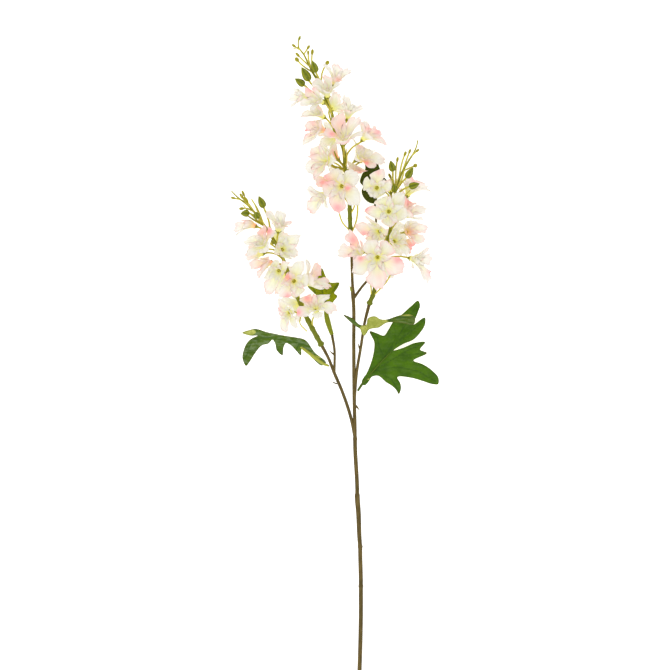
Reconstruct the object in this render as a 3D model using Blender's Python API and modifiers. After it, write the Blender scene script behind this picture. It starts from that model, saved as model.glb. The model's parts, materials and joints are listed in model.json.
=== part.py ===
"""A cut delphinium spray lying on a table: one branching stem, three flower spikes, five leaves.

Blender works in metres with +Z up. The lengths below are in millimetres, and each object is
turned into metres as it is made. The table is Z = 0, and the spikes point along +Y."""

import math
import random

import bmesh
import bpy
from mathutils import Matrix, Vector
from mathutils.geometry import delaunay_2d_cdt

MM = 0.001

# Driving dimensions, in millimetres
PETAL_THICKNESS = 0.7
LEAF_THICKNESS = 0.8
GAP = 0.3
TABLE_CLEARANCE = 0.5
SPIKE_HEIGHT = 29.0
STEM_RADIUS = 2.9
STEM_LOW = 2.4
RACHIS_RADIUS = 2.9
PEDICEL_RADIUS = 1.0
CALYX_RADIUS = 2.9
RING_RADIUS = 2.6

PEDICEL_LEAD = 27.0
BEAD_RADIUS = 2.9
# How a bud swells along its length, as (share of the length, share of its greatest radius)
BEAD = [(0.15, 0.5), (0.6, 1.0), (1.0, 0.4)]
BIG_BUD = [(0.08, 0.6), (0.34, 1.0), (0.68, 0.72), (1.0, 0.1)]

OUTER_PETALS = 5
OUTER_ROOT = math.radians(14)
WIDEST_AT = 0.6
SHOULDER_AT = 0.88
MOST_HALF_ANGLE = math.radians(31)
TURNS_TRIED = 9
LAYERING = 1.9

# Route of each brown stem: its points, then its radius at each
STEM_ROUTE = [
    ((33, -432, STEM_LOW), STEM_RADIUS),
    ((34, -399, STEM_LOW), STEM_RADIUS),
    ((35, -353, 4), STEM_RADIUS),
    ((35, -314, 7), STEM_RADIUS),
    ((35, -311, 7.2), 3.4),
    ((35, -308, 7.5), STEM_RADIUS),
    ((34, -260, 11), STEM_RADIUS),
    ((34, -257, 11.3), 3.5),
    ((33.7, -254, 11.5), STEM_RADIUS),
    ((31.5, -209, 15), 3.4),
    ((30, -188, 16.5), 3.6),
    ((30, -184, 17), 2.8),
    ((27, -114, 22.5), 2.8),
    ((27, -111, 22.7), 3.3),
    ((27, -108, 23), 2.5),
    ((26, -60, 26), 2.5),
    ((25.2, 14, 29), 2.4),
    ((25, 70, SPIKE_HEIGHT), 2.4),
    ((24.2, 84, SPIKE_HEIGHT), 2.9),
    ((23.6, 96, SPIKE_HEIGHT), 2.0),
    ((22.5, 129, SPIKE_HEIGHT), 1.9),
    ((22, 160, SPIKE_HEIGHT), 1.9),
]
LEFT_BRANCH = [
    ((27, -110, 22.6), 2.3),
    ((23, -89, 24), 2.3),
    ((10, -48, 26), 2.2),
    ((-1, -22, 27), 2.3),
    ((-9, -2, 28), 2.0),
    ((-18, 15, SPIKE_HEIGHT), 2.3),
]
TWIG = [
    ((-1, -22, 27), 1.9),
    ((-0.5, -7, 25), 1.7),
    ((-0.5, 6, 22), 1.7),
    ((-4, 29, 16), 1.9),
]
RIGHT_BRANCH = [
    ((26.4, -56, 26), 2.0),
    ((29, -23, 29), 2.0),
    ((35, 14, 31), 1.9),
    ((40, 46, 31), 1.9),
    ((46, 70, 30), 2.4),
]
BACK_BRANCH = [
    ((25, 78, SPIKE_HEIGHT), 2.0),
    ((35, 92, 27), 1.7),
    ((46, 106, 22), 1.7),
    ((53, 133, 9), 1.5),
    ((56, 158, 5), 1.5),
    ((55, 196, 5), 1.4),
]
# Small bracts and thorns on the brown stems: where each is rooted, and its tip
BRACTS = [
    ((24, 86, 29), (19.5, 95, 31), 1.9),
    ((28, -66, 26), (33.5, -73, 27), 1.2),
    ((33, 10, 31), (31, 18, 32.5), 1.0),
    ((0, -24, 27), (2, -33, 28), 1.0),
    ((-1, 2, 23), (-8, 8, 23), 1.0),
]

# Middle line of each spike's green stalk, as (x, y, height offset, radius share)
CENTRE_AXIS = [
    (22, 160.4, 0, 0.8),
    (21, 170, 0, 0.95),
    (19, 212, 0, 0.95),
    (14, 250, 1, 0.9),
    (11, 280, 1, 0.85),
    (-1, 306, 1, 0.8),
    (-4, 326, 1, 0.72),
    (-13, 347, 2, 0.65),
    (-20, 366, 2, 0.6),
    (-30, 382, 2, 0.55),
    (-37, 396, 3, 0.45),
    (-42, 406, 3, 0.42),
    (-49, 416, 4, 0.36),
    (-49, 424, 5, 0.34),
    (-47.7, 427.6, 6, 0.66),
    (-46.6, 430.5, 6, 0.3),
]
RIGHT_AXIS = [
    (46.2, 70.7, 1, 1.15),
    (47.6, 74.5, 1, 0.95),
    (51, 82, 1, 0.95),
    (57, 109, 0, 0.95),
    (65, 136, 0, 0.9),
    (73, 163, 0, 0.85),
    (77, 190, 0, 0.8),
    (79, 210, 1, 0.7),
    (83, 228, 2, 0.6),
    (90, 247, 3, 0.52),
    (99, 263, 4, 0.45),
    (106, 274, 5, 0.38),
    (110, 284, 6, 0.3),
    (111, 290, 7, 0.34),
]
LEFT_AXIS = [
    (-18.2, 15.4, 0, 1.2),
    (-20.8, 20, 0, 1.0),
    (-35, 46, 0, 1.1),
    (-48, 74, 0, 0.95),
    (-57, 96, 0, 0.9),
    (-68, 127, 0, 0.82),
    (-78, 149, 0, 0.75),
    (-91, 170, 1, 0.65),
    (-105, 190, 2, 0.6),
    (-118, 204, 4, 0.5),
    (-131, 214, 5, 0.36),
    (-139, 222, 6, 0.3),
]

# Each floret: name, base (x, y, height over the spike), azimuth and elevation that its mouth
# faces in degrees, petal length, and how far the petals open from the mouth's axis in degrees
CENTRE_FLORETS = [
    ("c01", (-1, 365, 7), 71, 22, 33, 42),
    ("c02", (-10, 348, 13), 100, 38, 33, 45),
    ("c03", (-37, 348, 4), 172, 12, 28, 40),
    ("c04", (-16, 340, 16), 156, 44, 30, 42),
    ("c05", (-15, 321, 11), 151, 37, 31, 46),
    ("c06", (16, 319, 6), 72, 12, 32, 40),
    ("c07", (-14, 303, 12), 164, 34, 35, 57),
    ("c08", (12, 285, 17), 92, 46, 40, 46),
    ("c09", (37, 291, 7), 47, 26, 32, 54),
    ("c10", (33, 262, 12), 53, 44, 34, 64),
    ("c11", (-8, 262, 14), 166, 44, 38, 74),
    ("c12", (9, 228, 19), 215, 74, 39, 76),
    ("c13", (27, 244, 12), 78, 44, 25, 52),
    ("c14", (-11, 219, 4), 212, 20, 36, 56),
    ("c15", (4, 265, 0), 134, -2, 24, 46),
    ("c16", (28, 264, -3), 44, -10, 28, 50),
    ("c17", (2, 298, -12), 196, -44, 29, 56),
    ("c18", (14, 244, -12), 230, -56, 31, 58),
    ("c19", (-6, 332, -10), 52, -40, 27, 53),
    ("c20", (-6, 238, 5), 207, 14, 27, 56),
]
RIGHT_FLORETS = [
    ("r01", (97, 216, 1), 65, 12, 36, 50),
    ("r02", (75, 221, -7), 98, 0, 23, 38),
    ("r03", (56, 226, 17), 250, 80, 31, 80),
    ("r04", (72, 194, 20), 90, 84, 36, 83),
    ("r05", (91, 187, 9), 38, 32, 33, 50),
    ("r06", (95, 167, 13), 12, 54, 31, 60),
    ("r07", (60, 168, 14), 200, 58, 34, 72),
    ("r08", (37, 140, 12), 170, 46, 31, 60),
    ("r09", (57, 133, 20), 262, 76, 40, 76),
    ("r10", (89, 153, 3), 350, 8, 25, 46),
    ("r11", (101, 132, 3), 346, 28, 37, 46),
    ("r12", (84, 202, -9), 24, -30, 27, 52),
    ("r13", (70, 160, -11), 350, -50, 31, 58),
    ("r14", (64, 130, -11), 280, -60, 26, 58),
    ("r15", (79, 154, 13), 30, 64, 31, 60),
]
LEFT_FLORETS = [
    ("l01", (-107, 175, 6), 160, 18, 30, 48),
    ("l02", (-76, 168, 9), 80, 28, 30, 44),
    ("l03", (-92, 147, 12), 137, 40, 35, 60),
    ("l04", (-71, 143, 14), 30, 62, 30, 72),
    ("l05", (-96, 139, 3), 184, -3, 26, 48),
    ("l06", (-85, 126, 12), 190, 44, 28, 50),
    ("l07", (-75, 115, 16), 236, 70, 31, 74),
    ("l08", (-55, 101, 18), 300, 80, 33, 78),
    ("l09", (-42, 97, 8), 28, 26, 35, 52),
    ("l10", (-60, 59, 10), 204, 50, 27, 76),
    ("l11", (-26, 61, 14), 92, 52, 36, 68),
    ("l12", (-84, 154, -11), 40, -44, 29, 56),
    ("l13", (-64, 112, -12), 220, -56, 31, 58),
    ("l14", (-46, 72, -11), 200, -48, 29, 56),
]

# Florets whose petals the photograph shows one by one: where the first petal points as seen
# from above, in degrees, how wide the petals are, and the length of each, as shares
SHAPES = {
    "c01": (84, 0.72, (1, 0.9, 0.5, 0.6, 0.9)),
    "c03": (180, 1.1, (1, 0.9, 0.7, 0.7, 0.9)),
    "c06": (96, 0.75, (1, 0.6, 0.5, 0.9, 0.9)),
    "c12": (-98, 1.05, (1.05, 0.95, 0.9, 1, 0.8)),
    "c14": (226, 0.9, (1.15, 0.6, 0.6, 0.8, 0.8)),
    "r03": (-65, 0.95, (0.9, 0.85, 1, 1, 0.4)),
    "r04": (-100, 0.75, (1, 1, 1, 1, 1)),
    "r08": (118, 1.25, (1, 1.1, 0.5, 0.5, 0.8)),
    "r09": (-90, 1.1, (1.05, 1, 0.8, 0.9, 1.1)),
    "r11": (-50, 1.4, (1.1, 0.75, 0.75, 0.5, 0.5)),
    "l02": (80, 1, (1, 1, 0.7, 0.7, 0.75)),
    "l04": (44, 0.9, (1.1, 0.8, 0.9, 0.9, 0.8)),
    "l07": (244, 0.9, (1.15, 0.8, 0.9, 0.8, 0.8)),
    "l08": (78, 0.9, (1.1, 0.9, 1, 1, 0.9)),
    "l10": (252, 0.75, (1, 1, 0.6, 0.9, 0.6)),
    "l11": (6, 0.9, (0.8, 0.95, 1.05, 0.9, 0.5)),
}

# Each bud: the route of its stalk from the spike's axis to the bud's base, as (x, y, height over
# the spike), then its tip and its greatest radius
CENTRE_BUDS = [
    ([(-46, 412, 3), (-52, 415, 5)], (-58, 419.5, 6), 1.9),
    ([(-42, 406, 3), (-38, 412, 5)], (-34, 418, 7), 1.9),
    ([(-32, 385, 2), (-36, 404, 8)], (-36, 411, 8), 1.7),
    ([(-31, 383, 2), (-31, 404, 5)], (-30, 413, 6), 2.1),
    ([(-34, 389, 3), (-47, 402, 5)], (-53, 408, 6), 2.0),
    ([(-30, 381, 2), (-48.5, 395.5, 6)], (-53.5, 401.5, 7), 2.8),
    ([(-19, 362, 2), (-17.5, 381, -4), (-12.5, 392.5, -7)], (-8.5, 398.5, -8), 2.7),
    ([(-18, 358, 2), (-22, 374, 7), (-25.5, 381, 9)], (-30.5, 397, 11), 4.8),
    ([(-19, 352, 2), (-30, 364, 8), (-34.5, 369.5, 11)], (-45, 388, 13), 5.7),
    ([(-16, 338, 2), (-34, 358, 6), (-41, 364, 6)], (-54, 373.5, 5), 4.9),
]
RIGHT_BUDS = [
    ([(104, 270, 5), (108, 274, 7)], (113, 278.5, 8), 1.7),
    ([(88, 244, 3), (99, 272, 6)], (101.5, 278.5, 8), 1.8),
    ([(84, 232, 2), (92.5, 268, 7)], (95.5, 275.5, 9), 2.0),
    ([(81, 222, 1), (83, 260, 8)], (84.5, 268, 9), 1.8),
    ([(92, 249, 3), (104.5, 255, 7)], (110.5, 257.5, 8), 2.7),
    ([(80, 216, 1), (77.5, 240, 10), (77.5, 248, 12)], (74.5, 263, 13), 4.7),
    ([(79, 208, 1), (80, 217, 10), (80, 221, 12)], (79, 231, 19), 4.4),
    ([(82, 222, 2), (91, 235, 10), (95.5, 239.5, 12)], (105, 253.5, 13), 4.8),
    ([(79, 212, 1), (90, 223, 17), (99, 227, 25)], (113, 231, 29), 4.8),
    ([(82, 226, 2), (76, 238, 4)], (72, 246, 5), 1.8),
]
LEFT_BUDS = [
    ([(-127, 211, 5), (-133, 212, 6)], (-140, 213.5, 7), 1.8),
    ([(-113, 198, 3), (-121, 214, 7)], (-125, 223, 9), 1.8),
    ([(-115, 200, 3), (-122, 210, 9)], (-128, 219, 11), 1.9),
    ([(-110, 194, 3), (-121, 199, 8)], (-129, 198, 9), 2.1),
    ([(-107, 192, 2), (-116, 205, 8)], (-123, 214, 10), 2.8),
    ([(-102, 186, 2), (-112, 191, 9), (-115, 192, 11)], (-127, 191.5, 12), 4.8),
    ([(-98, 180, 2), (-102, 184, 11), (-104, 187, 14)], (-106, 192, 25), 4.8),
    ([(-86, 163, 1), (-89, 182, 7), (-95.5, 199.5, 9)], (-102.5, 215.5, 10), 4.9),
]

# Stalks that carry no bud, with their radius
CENTRE_BARE_STALKS = [
    ([(21, 168, 0), (10, 180, 4), (4.5, 197, 6)], 0.9),
    ([(21, 164, 0), (29, 184, 3), (30, 206, 4), (28, 216, 5)], 0.95),
    ([(19.6, 190, 0), (26, 202, 3), (25, 214, 4)], 0.9),
    ([(8, 286, 1), (2, 300, 9), (5, 326, 9)], 0.8),
    ([(-49, 417, 4), (-51, 414.6, 5), (-56, 413, 7)], 0.6),
]
RIGHT_BARE_STALKS = [
    ([(49, 78, 1), (48.5, 92, 4), (47.5, 104, 6)], 0.9),
    ([(49, 80, 1), (57, 87, 4), (69, 100, 6), (76, 112, 6)], 0.9),
]
LEFT_BARE_STALKS = [
    ([(-43, 62, 0), (-47, 44, 6), (-38, 34, 7)], 0.7),
    ([(-95, 176, 1), (-104, 198, 5), (-112, 211, 6)], 0.9),
]

SPIKES = [
    ("centre", (CENTRE_AXIS, CENTRE_FLORETS, CENTRE_BUDS, CENTRE_BARE_STALKS)),
    ("left", (LEFT_AXIS, LEFT_FLORETS, LEFT_BUDS, LEFT_BARE_STALKS)),
    ("right", (RIGHT_AXIS, RIGHT_FLORETS, RIGHT_BUDS, RIGHT_BARE_STALKS)),
]

# Outline of each leaf, seen from above
FRONT_LEAF = [
    (36, -37), (36, -34), (43, -22), (48, -10), (52, 5), (53, 19), (47, 34), (57, 31), (66, 28),
    (72, 36), (78, 46), (93, 59), (103, 68), (113, 75), (115, 70), (112, 59), (106, 43), (122, 52),
    (122, 44), (116, 33),
    (105, 22), (93, 17), (79, 8), (93, 12), (107, 18), (122, 19), (115, 9), (124, 5),
    (106, -6), (117, -10), (131, -19), (140, -30), (139, -38), (134, -38), (117, -33), (103, -29),
    (84, -29), (88, -36), (89, -44), (86, -51), (83, -46), (77, -40), (69, -35), (57, -26), (49, -28),
    (46, -33), (39, -39),
]
LEFT_LEAF = [
    (-13, -10), (-27, 5), (-43, 23.5), (-50, 25), (-66, 27.5), (-91, 32.5), (-109, 37), (-117, 35),
    (-125, 32), (-114, 28), (-104, 28), (-113, 23.5), (-118, 19), (-123, 9), (-125, -3), (-120, -13),
    (-115, -7), (-108, 4), (-97, 15.5), (-90, 17), (-84, 22.5), (-80.5, 17), (-79, 9), (-71, 1.5),
    (-69, 13), (-66, 18), (-61, 16), (-51, 6), (-46, 1), (-45, 11), (-30, -3), (-16, -12),
]
RIGHT_LEAF = [
    (11, 56), (24, 51), (34, 42.5), (42, 42.5), (44, 51), (54, 54), (61, 50), (71, 50), (81, 53.5),
    (91, 56), (102, 56), (107, 52), (106, 43.5), (92, 44.5), (79, 46), (70, 45.5), (59, 39), (45, 35.5),
    (42, 30.5), (39, 27.5), (36, 30.5), (34, 36.5), (27, 41), (20, 47),
]
UPPER_LEAF = [
    (-10, 50), (-7, 66), (-2, 74), (3, 82), (-1, 85), (3, 92), (6, 99), (-7, 100), (-12, 107),
    (-18, 119), (-23, 110), (-26, 103), (-29, 98), (-37, 96), (-29, 86), (-18, 76), (-14, 62),
]
BACK_LEAF = [
    (46, 276), (56, 267), (60, 256), (64, 246), (75, 228), (70, 222), (62, 219), (58, 215),
    (54, 207), (49, 207), (40, 213), (36, 224), (38, 230), (34, 235), (36, 245), (41, 254), (40, 264),
]

COLOURS = {
    "stem": (0.13, 0.09, 0.03),
    "stalk": (0.30, 0.30, 0.05),
    "leaf": (0.08, 0.16, 0.02),
    "petal": (0.86, 0.76, 0.62),
}

bpy.context.scene.unit_settings.system = "METRIC"


def clear_scene():
    for obj in list(bpy.data.objects):
        bpy.data.objects.remove(obj)


def new_collection(name):
    collection = bpy.data.collections.new(name)
    bpy.context.scene.collection.children.link(collection)
    return collection


def new_material(name, colour, roughness):
    material = bpy.data.materials.new(name)
    material.use_nodes = True
    shader = material.node_tree.nodes["Principled BSDF"]
    shader.inputs["Base Color"].default_value = (*colour, 1.0)
    shader.inputs["Roughness"].default_value = roughness
    shader.inputs["Metallic"].default_value = 0.0
    return material


def place(name, mesh, collection, material):
    obj = bpy.data.objects.new(name, mesh)
    collection.objects.link(obj)
    mesh.materials.clear()
    mesh.materials.append(material)
    mesh.shade_smooth()
    mesh.set_sharp_from_angle(angle=math.radians(40))
    return obj


def tube_mesh(name, points, radii, sides):
    """A closed tube through the points, in metres, with its own radius at each point."""
    curve = bpy.data.curves.new(name, "CURVE")
    curve.dimensions = "3D"
    curve.twist_mode = "MINIMUM"
    curve.bevel_depth = MM
    curve.bevel_resolution = sides // 2 - 2
    curve.use_fill_caps = True
    spline = curve.splines.new("POLY")
    spline.points.add(len(points) - 1)
    for knot, point, radius in zip(spline.points, points, radii):
        knot.co = (*(Vector(point) * MM), 1.0)
        knot.radius = radius
    obj = bpy.data.objects.new(name, curve)
    bpy.context.scene.collection.objects.link(obj)
    graph = bpy.context.evaluated_depsgraph_get()
    mesh = bpy.data.meshes.new_from_object(obj.evaluated_get(graph))
    bpy.data.objects.remove(obj)
    weld = bmesh.new()
    weld.from_mesh(mesh)
    bmesh.ops.remove_doubles(weld, verts=weld.verts, dist=1e-6)
    bmesh.ops.recalc_face_normals(weld, faces=weld.faces)
    weld.to_mesh(mesh)
    weld.free()
    return mesh


def fused(name, meshes, collection, material, solver="EXACT"):
    """One object out of several closed meshes that run into each other."""
    repeats = new_collection(name + "_repeats")
    for index, mesh in enumerate(meshes[1:]):
        repeats.objects.link(bpy.data.objects.new(f"{name}_{index}", mesh))
    body = place(name, meshes[0], collection, material)
    union = body.modifiers.new("Union", "BOOLEAN")
    union.operation = "UNION"
    union.operand_type = "COLLECTION"
    union.collection = repeats
    union.solver = solver
    graph = bpy.context.evaluated_depsgraph_get()
    joined = bpy.data.meshes.new_from_object(body.evaluated_get(graph))
    bpy.data.objects.remove(body)
    for obj in list(repeats.objects):
        bpy.data.objects.remove(obj)
    bpy.data.collections.remove(repeats)
    return place(name, joined, collection, material)


def facing_of(azimuth, elevation):
    flat = math.cos(math.radians(elevation))
    return Vector((
        flat * math.cos(math.radians(azimuth)),
        flat * math.sin(math.radians(azimuth)),
        math.sin(math.radians(elevation)),
    ))


def lifted(point):
    return Vector((point[0], point[1], point[2] + SPIKE_HEIGHT))


class Floret:
    """One open flower: where it sits, which way it faces, and the shape of its petals."""

    def __init__(self, name, base, azimuth, elevation, length, opening):
        self.name = name
        self.base = lifted(base)
        self.facing = facing_of(azimuth, elevation)
        self.length = length
        self.opening = math.radians(opening)
        self.centre = self.base + self.facing * length * (0.12 + 0.42 * math.cos(self.opening))
        self.reach = 0.8 * length
        self.heading, self.wide, self.lengths = SHAPES.get(name, (None, 1, [1] * OUTER_PETALS))
        self.hidden = elevation < 0
        self.frame = self.facing.to_track_quat("Z", "Y").to_matrix()

    def turned(self, angle):
        return self.frame @ Matrix.Rotation(angle, 3, "Z")

    def petals(self):
        """Outer petals, which spread, and narrower inner ones, which stand in the gaps between."""
        draw = random.Random(self.name)
        step = 2 * math.pi / OUTER_PETALS
        for index in range(OUTER_PETALS):
            yield {
                "inner": False,
                "turn": index * step,
                "root": OUTER_ROOT,
                "length": self.length * draw.uniform(0.86, 1.08) * self.lengths[index],
                "width": self.length * draw.uniform(0.36, 0.45) * self.wide,
                "low": 0.4 * self.opening,
                "high": self.opening * 1.5 + math.radians(draw.uniform(-10, 16)),
                "cup": draw.uniform(0.02, 0.1),
                "ruffle": draw.uniform(-0.05, 0.05),
                "lean": draw.uniform(-0.12, 0.12),
            }
            yield {
                "inner": True,
                "turn": (index + 0.5) * step,
                "root": step / 2 - OUTER_ROOT,
                "length": self.length * draw.uniform(0.56, 0.76),
                "width": self.length * draw.uniform(0.15, 0.21),
                "low": 0.25 * self.opening,
                "high": self.opening * 0.85 + math.radians(draw.uniform(-8, 8)),
                "cup": draw.uniform(-0.05, 0.05),
                "ruffle": 0.0,
                "lean": draw.uniform(-0.08, 0.08),
            }


def petal_width(petal, along):
    """Half the petal's width: it widens from a narrow claw, then rounds off at the tip."""
    claw = RING_RADIUS * petal["root"]
    if along < WIDEST_AT:
        return claw + (petal["width"] - claw) * math.sin(math.pi / 2 * along / WIDEST_AT) ** 1.3
    return petal["width"] * math.sqrt(max(0.0, 1 - ((along - WIDEST_AT) / (1 - WIDEST_AT)) ** 2))


def petal_point(petal, across, along):
    """A point of the petal's middle surface in the floret's own frame, Z being its mouth's axis."""
    bend = petal["high"] - petal["low"]
    scale = petal["length"] / bend
    now = petal["low"] + bend * along
    out = RING_RADIUS + scale * (math.cos(petal["low"]) - math.cos(now))
    up = scale * (math.sin(now) - math.sin(petal["low"]))
    half = min(petal_width(petal, along) / out, MOST_HALF_ANGLE) if along else petal["root"]
    turn = petal["turn"] + half * across + petal["lean"] * along
    up += petal["length"] * along * (petal["cup"] * across ** 2 + petal["ruffle"] * across)
    return Vector((out * math.cos(turn), out * math.sin(turn), up))


def walls_between(floret, others, buds, axis):
    """Planes that the floret's petals stay behind, as (point, normal away from the floret)."""
    walls = [(Vector((0, 0, TABLE_CLEARANCE)), Vector((0, 0, -1)))]
    margin = PETAL_THICKNESS / 2 + GAP / 2 + 0.1
    for other in others:
        apart = other.centre - floret.centre
        if other is floret or apart.length > floret.reach + other.reach + 12:
            continue
        share = 0.5 + (floret.reach ** 2 - other.reach ** 2) / (2 * apart.length ** 2)
        share = min(max(share, 0.36), 0.64)
        normal = Vector((apart.x, apart.y, LAYERING * apart.z)).normalized()
        walls.append((floret.centre + share * apart - margin * normal, normal))
    for centre, radius in buds:
        apart = centre - floret.centre
        if apart.length < floret.reach + radius + 10:
            normal = apart.normalized()
            walls.append((centre - (radius + 1.5) * normal, normal))
    for (start, radius), (end, _) in zip(axis, axis[1:]):
        run = (end - start).normalized()
        along = (floret.centre - start).dot(run)
        if -25 < along < (end - start).length + 25:
            nearest = start + along * run
            normal = (nearest - floret.centre).normalized()
            walls.append((nearest - (radius + margin + 0.4) * normal, normal))
    return walls


def held_back(point, walls, facing, share):
    """The point eased back behind every wall, its petal curling towards the mouth meanwhile."""
    if share <= 0:
        return point
    ease = 4.0
    moved = point.copy()
    for _ in range(2):
        for where, normal in walls:
            past = (moved - where).dot(normal)
            if past > -ease:
                kept = -ease * math.exp(-(past + ease) / ease)
                moved -= (past - kept) * normal
                along_wall = facing - facing.dot(normal) * normal
                moved += 0.3 * min(past - kept, 12) * along_wall
    for _ in range(6):
        for where, normal in walls:
            past = (moved - where).dot(normal)
            if past > 0:
                moved -= past * normal
    return point.lerp(moved, share)


def roomiest_frame(floret, petals, walls):
    """The floret's frame, turned so that its first petal points to its heading, if it has one,
    or else to where its petals are bent the least."""
    def bending(angle):
        total = 0
        for petal in petals[::2]:
            point = floret.base + floret.turned(angle) @ petal_point(petal, 0, 0.9)
            total += (held_back(point, walls, floret.facing, 1) - point).length
        return total

    def straying(angle):
        tip = floret.turned(angle) @ petal_point(petals[0], 0, 0.9)
        return -math.cos(math.atan2(tip.y, tip.x) - math.radians(floret.heading))

    if floret.heading is not None:
        return floret.turned(min((math.radians(5 * index) for index in range(72)), key=straying))
    step = 2 * math.pi / OUTER_PETALS / TURNS_TRIED
    return floret.turned(min((index * step for index in range(TURNS_TRIED)), key=bending))


def floret_mesh(floret, walls):
    """The floret's petals as one open surface round its base disc."""
    surface = bmesh.new()
    petals = list(floret.petals())
    frame = roomiest_frame(floret, petals, walls)

    def vertex(local, share):
        point = floret.base + frame @ local
        return surface.verts.new(held_back(point, walls, floret.facing, share) * MM)

    ring = []
    for petal in petals:
        corners = (-1,) if petal["inner"] else (-1, 0)
        ring.append([vertex(petal_point(petal, across, 0), 0) for across in corners])
    middle = surface.verts.new(floret.base * MM)
    for index, petal in enumerate(petals):
        root = ring[index] + ring[(index + 1) % len(petals)][:1]
        for first, second in zip(root, root[1:]):
            surface.faces.new((middle, first, second))
        if floret.hidden and len(root) == 2:
            continue
        if len(root) == 3:
            rows = [
                [vertex(petal_point(petal, across, WIDEST_AT), 1) for across in (-1, 0, 1)],
                [
                    vertex(petal_point(petal, -1, SHOULDER_AT), 1),
                    vertex(petal_point(petal, 0, 1), 1),
                    vertex(petal_point(petal, 1, SHOULDER_AT), 1),
                ],
            ]
        else:
            rows = [
                [vertex(petal_point(petal, across, WIDEST_AT), 1) for across in (-1, 1)],
                [vertex(petal_point(petal, across, SHOULDER_AT + 0.06), 1) for across in (-1, 1)],
            ]
        for row in rows:
            for index_across in range(len(root) - 1):
                a, b = root[index_across], root[index_across + 1]
                c, d = row[index_across + 1], row[index_across]
                if index_across:
                    surface.faces.new((a, d, b))
                    surface.faces.new((b, d, c))
                else:
                    surface.faces.new((a, d, c))
                    surface.faces.new((a, c, b))
            root = row
    bmesh.ops.recalc_face_normals(surface, faces=surface.faces)
    mesh = bpy.data.meshes.new(floret.name)
    surface.to_mesh(mesh)
    surface.free()
    return mesh


def add_floret(floret, walls, collection, material):
    obj = place("floret_" + floret.name, floret_mesh(floret, walls), collection, material)
    shell = obj.modifiers.new("Petals", "SOLIDIFY")
    shell.thickness = PETAL_THICKNESS * MM
    shell.offset = 0
    return obj


def bezier(start, pull, end, count):
    for index in range(count):
        share = index / count
        yield start * (1 - share) ** 2 + pull * 2 * share * (1 - share) + end * share ** 2


def point_on_axis(axis, near, back):
    """The point of the axis a way back from where it passes nearest to the given point."""
    best = None
    run = 0.0
    for (start, _), (end, _) in zip(axis, axis[1:]):
        line = end - start
        share = min(max((near - start).dot(line) / line.length_squared, 0), 1)
        gap = (start + share * line - near).length
        if best is None or gap < best[0]:
            best = (gap, run + share * line.length)
        run += line.length
    target = max(best[1] - back, 2.0)
    for (start, _), (end, _) in zip(axis, axis[1:]):
        length = (end - start).length
        if target <= length:
            return start.lerp(end, target / length), (end - start).normalized()
        target -= length
    return axis[-1][0], Vector((0, 1, 0))


def pedicel_mesh(floret, axis):
    """The floret's own stalk, which flares into the cup that its base sits on."""
    seat = floret.base - floret.facing * (PETAL_THICKNESS / 2 + GAP)
    neck = seat - floret.facing * 4.5
    root, along = point_on_axis(axis, floret.base, PEDICEL_LEAD)
    pull = root + along * 0.6 * (neck - root).length
    points = [*bezier(root, pull, neck, 2), neck, seat]
    radii = [PEDICEL_RADIUS * 1.2, PEDICEL_RADIUS, 1.25 * PEDICEL_RADIUS, CALYX_RADIUS]
    return tube_mesh(floret.name, points, radii, 4)


def rooted(route, axis):
    """The route in full height, its first point moved onto the axis."""
    points = [lifted(point) for point in route]
    points[0] = point_on_axis(axis, points[0], 0)[0]
    return points


def bud_mesh(axis, stalk, tip, radius):
    """A bud on its own stalk: full near its base, and drawn out to a point."""
    stalk = rooted(stalk, axis)
    body = lifted(tip) - stalk[-1]
    profile = BIG_BUD if radius > BEAD_RADIUS else BEAD
    points = stalk + [stalk[-1] + share * body for share, _ in profile]
    thin = 0.95 if radius < BEAD_RADIUS else 1.15
    radii = [thin] * len(stalk) + [radius * swell for _, swell in profile]
    return tube_mesh("bud", points, radii, 6 if radius > BEAD_RADIUS else 4)


def add_spike(side, rows, collection, materials):
    axis_rows, floret_rows, bud_rows, stalk_rows = rows
    axis = [(lifted(row[:3]), RACHIS_RADIUS * row[3]) for row in axis_rows]
    florets = [Floret(*row) for row in floret_rows]
    meshes = [tube_mesh("axis", [point for point, _ in axis], [radius for _, radius in axis], 6)]
    meshes += [bud_mesh(axis, *row) for row in bud_rows]
    for route, radius in stalk_rows:
        meshes.append(tube_mesh("stalk", rooted(route, axis), [radius] * len(route), 4))
    meshes += [pedicel_mesh(floret, axis) for floret in florets]
    fused("stalks_" + side, meshes, collection, materials["stalk"])
    buds = [
        (lifted(stalk[-1]).lerp(lifted(tip), share), radius)
        for stalk, tip, radius in bud_rows if radius > BEAD_RADIUS
        for share in (0.2, 0.55)
    ]
    return axis, florets, buds


def add_stem(collection, material):
    def route_mesh(route, sides):
        points = [point for point, _ in route]
        radii = [radius for _, radius in route]
        return tube_mesh("route", points, radii, sides)

    main = route_mesh(STEM_ROUTE, 8)
    for vertex in main.vertices:
        if vertex.co.z < 0.5 * MM:
            vertex.co.z = 0
    meshes = [main]
    meshes += [route_mesh(route, 6) for route in (LEFT_BRANCH, TWIG, RIGHT_BRANCH, BACK_BRANCH)]
    for root, tip, radius in BRACTS:
        middle = Vector(root).lerp(Vector(tip), 0.4)
        meshes.append(tube_mesh("bract", [root, middle, tip], [radius, radius, 0.3], 4))
    # EXACT leaves the stem open where its branches and thin bracts meet
    return fused("stem", meshes, collection, material, "MANIFOLD")


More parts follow.
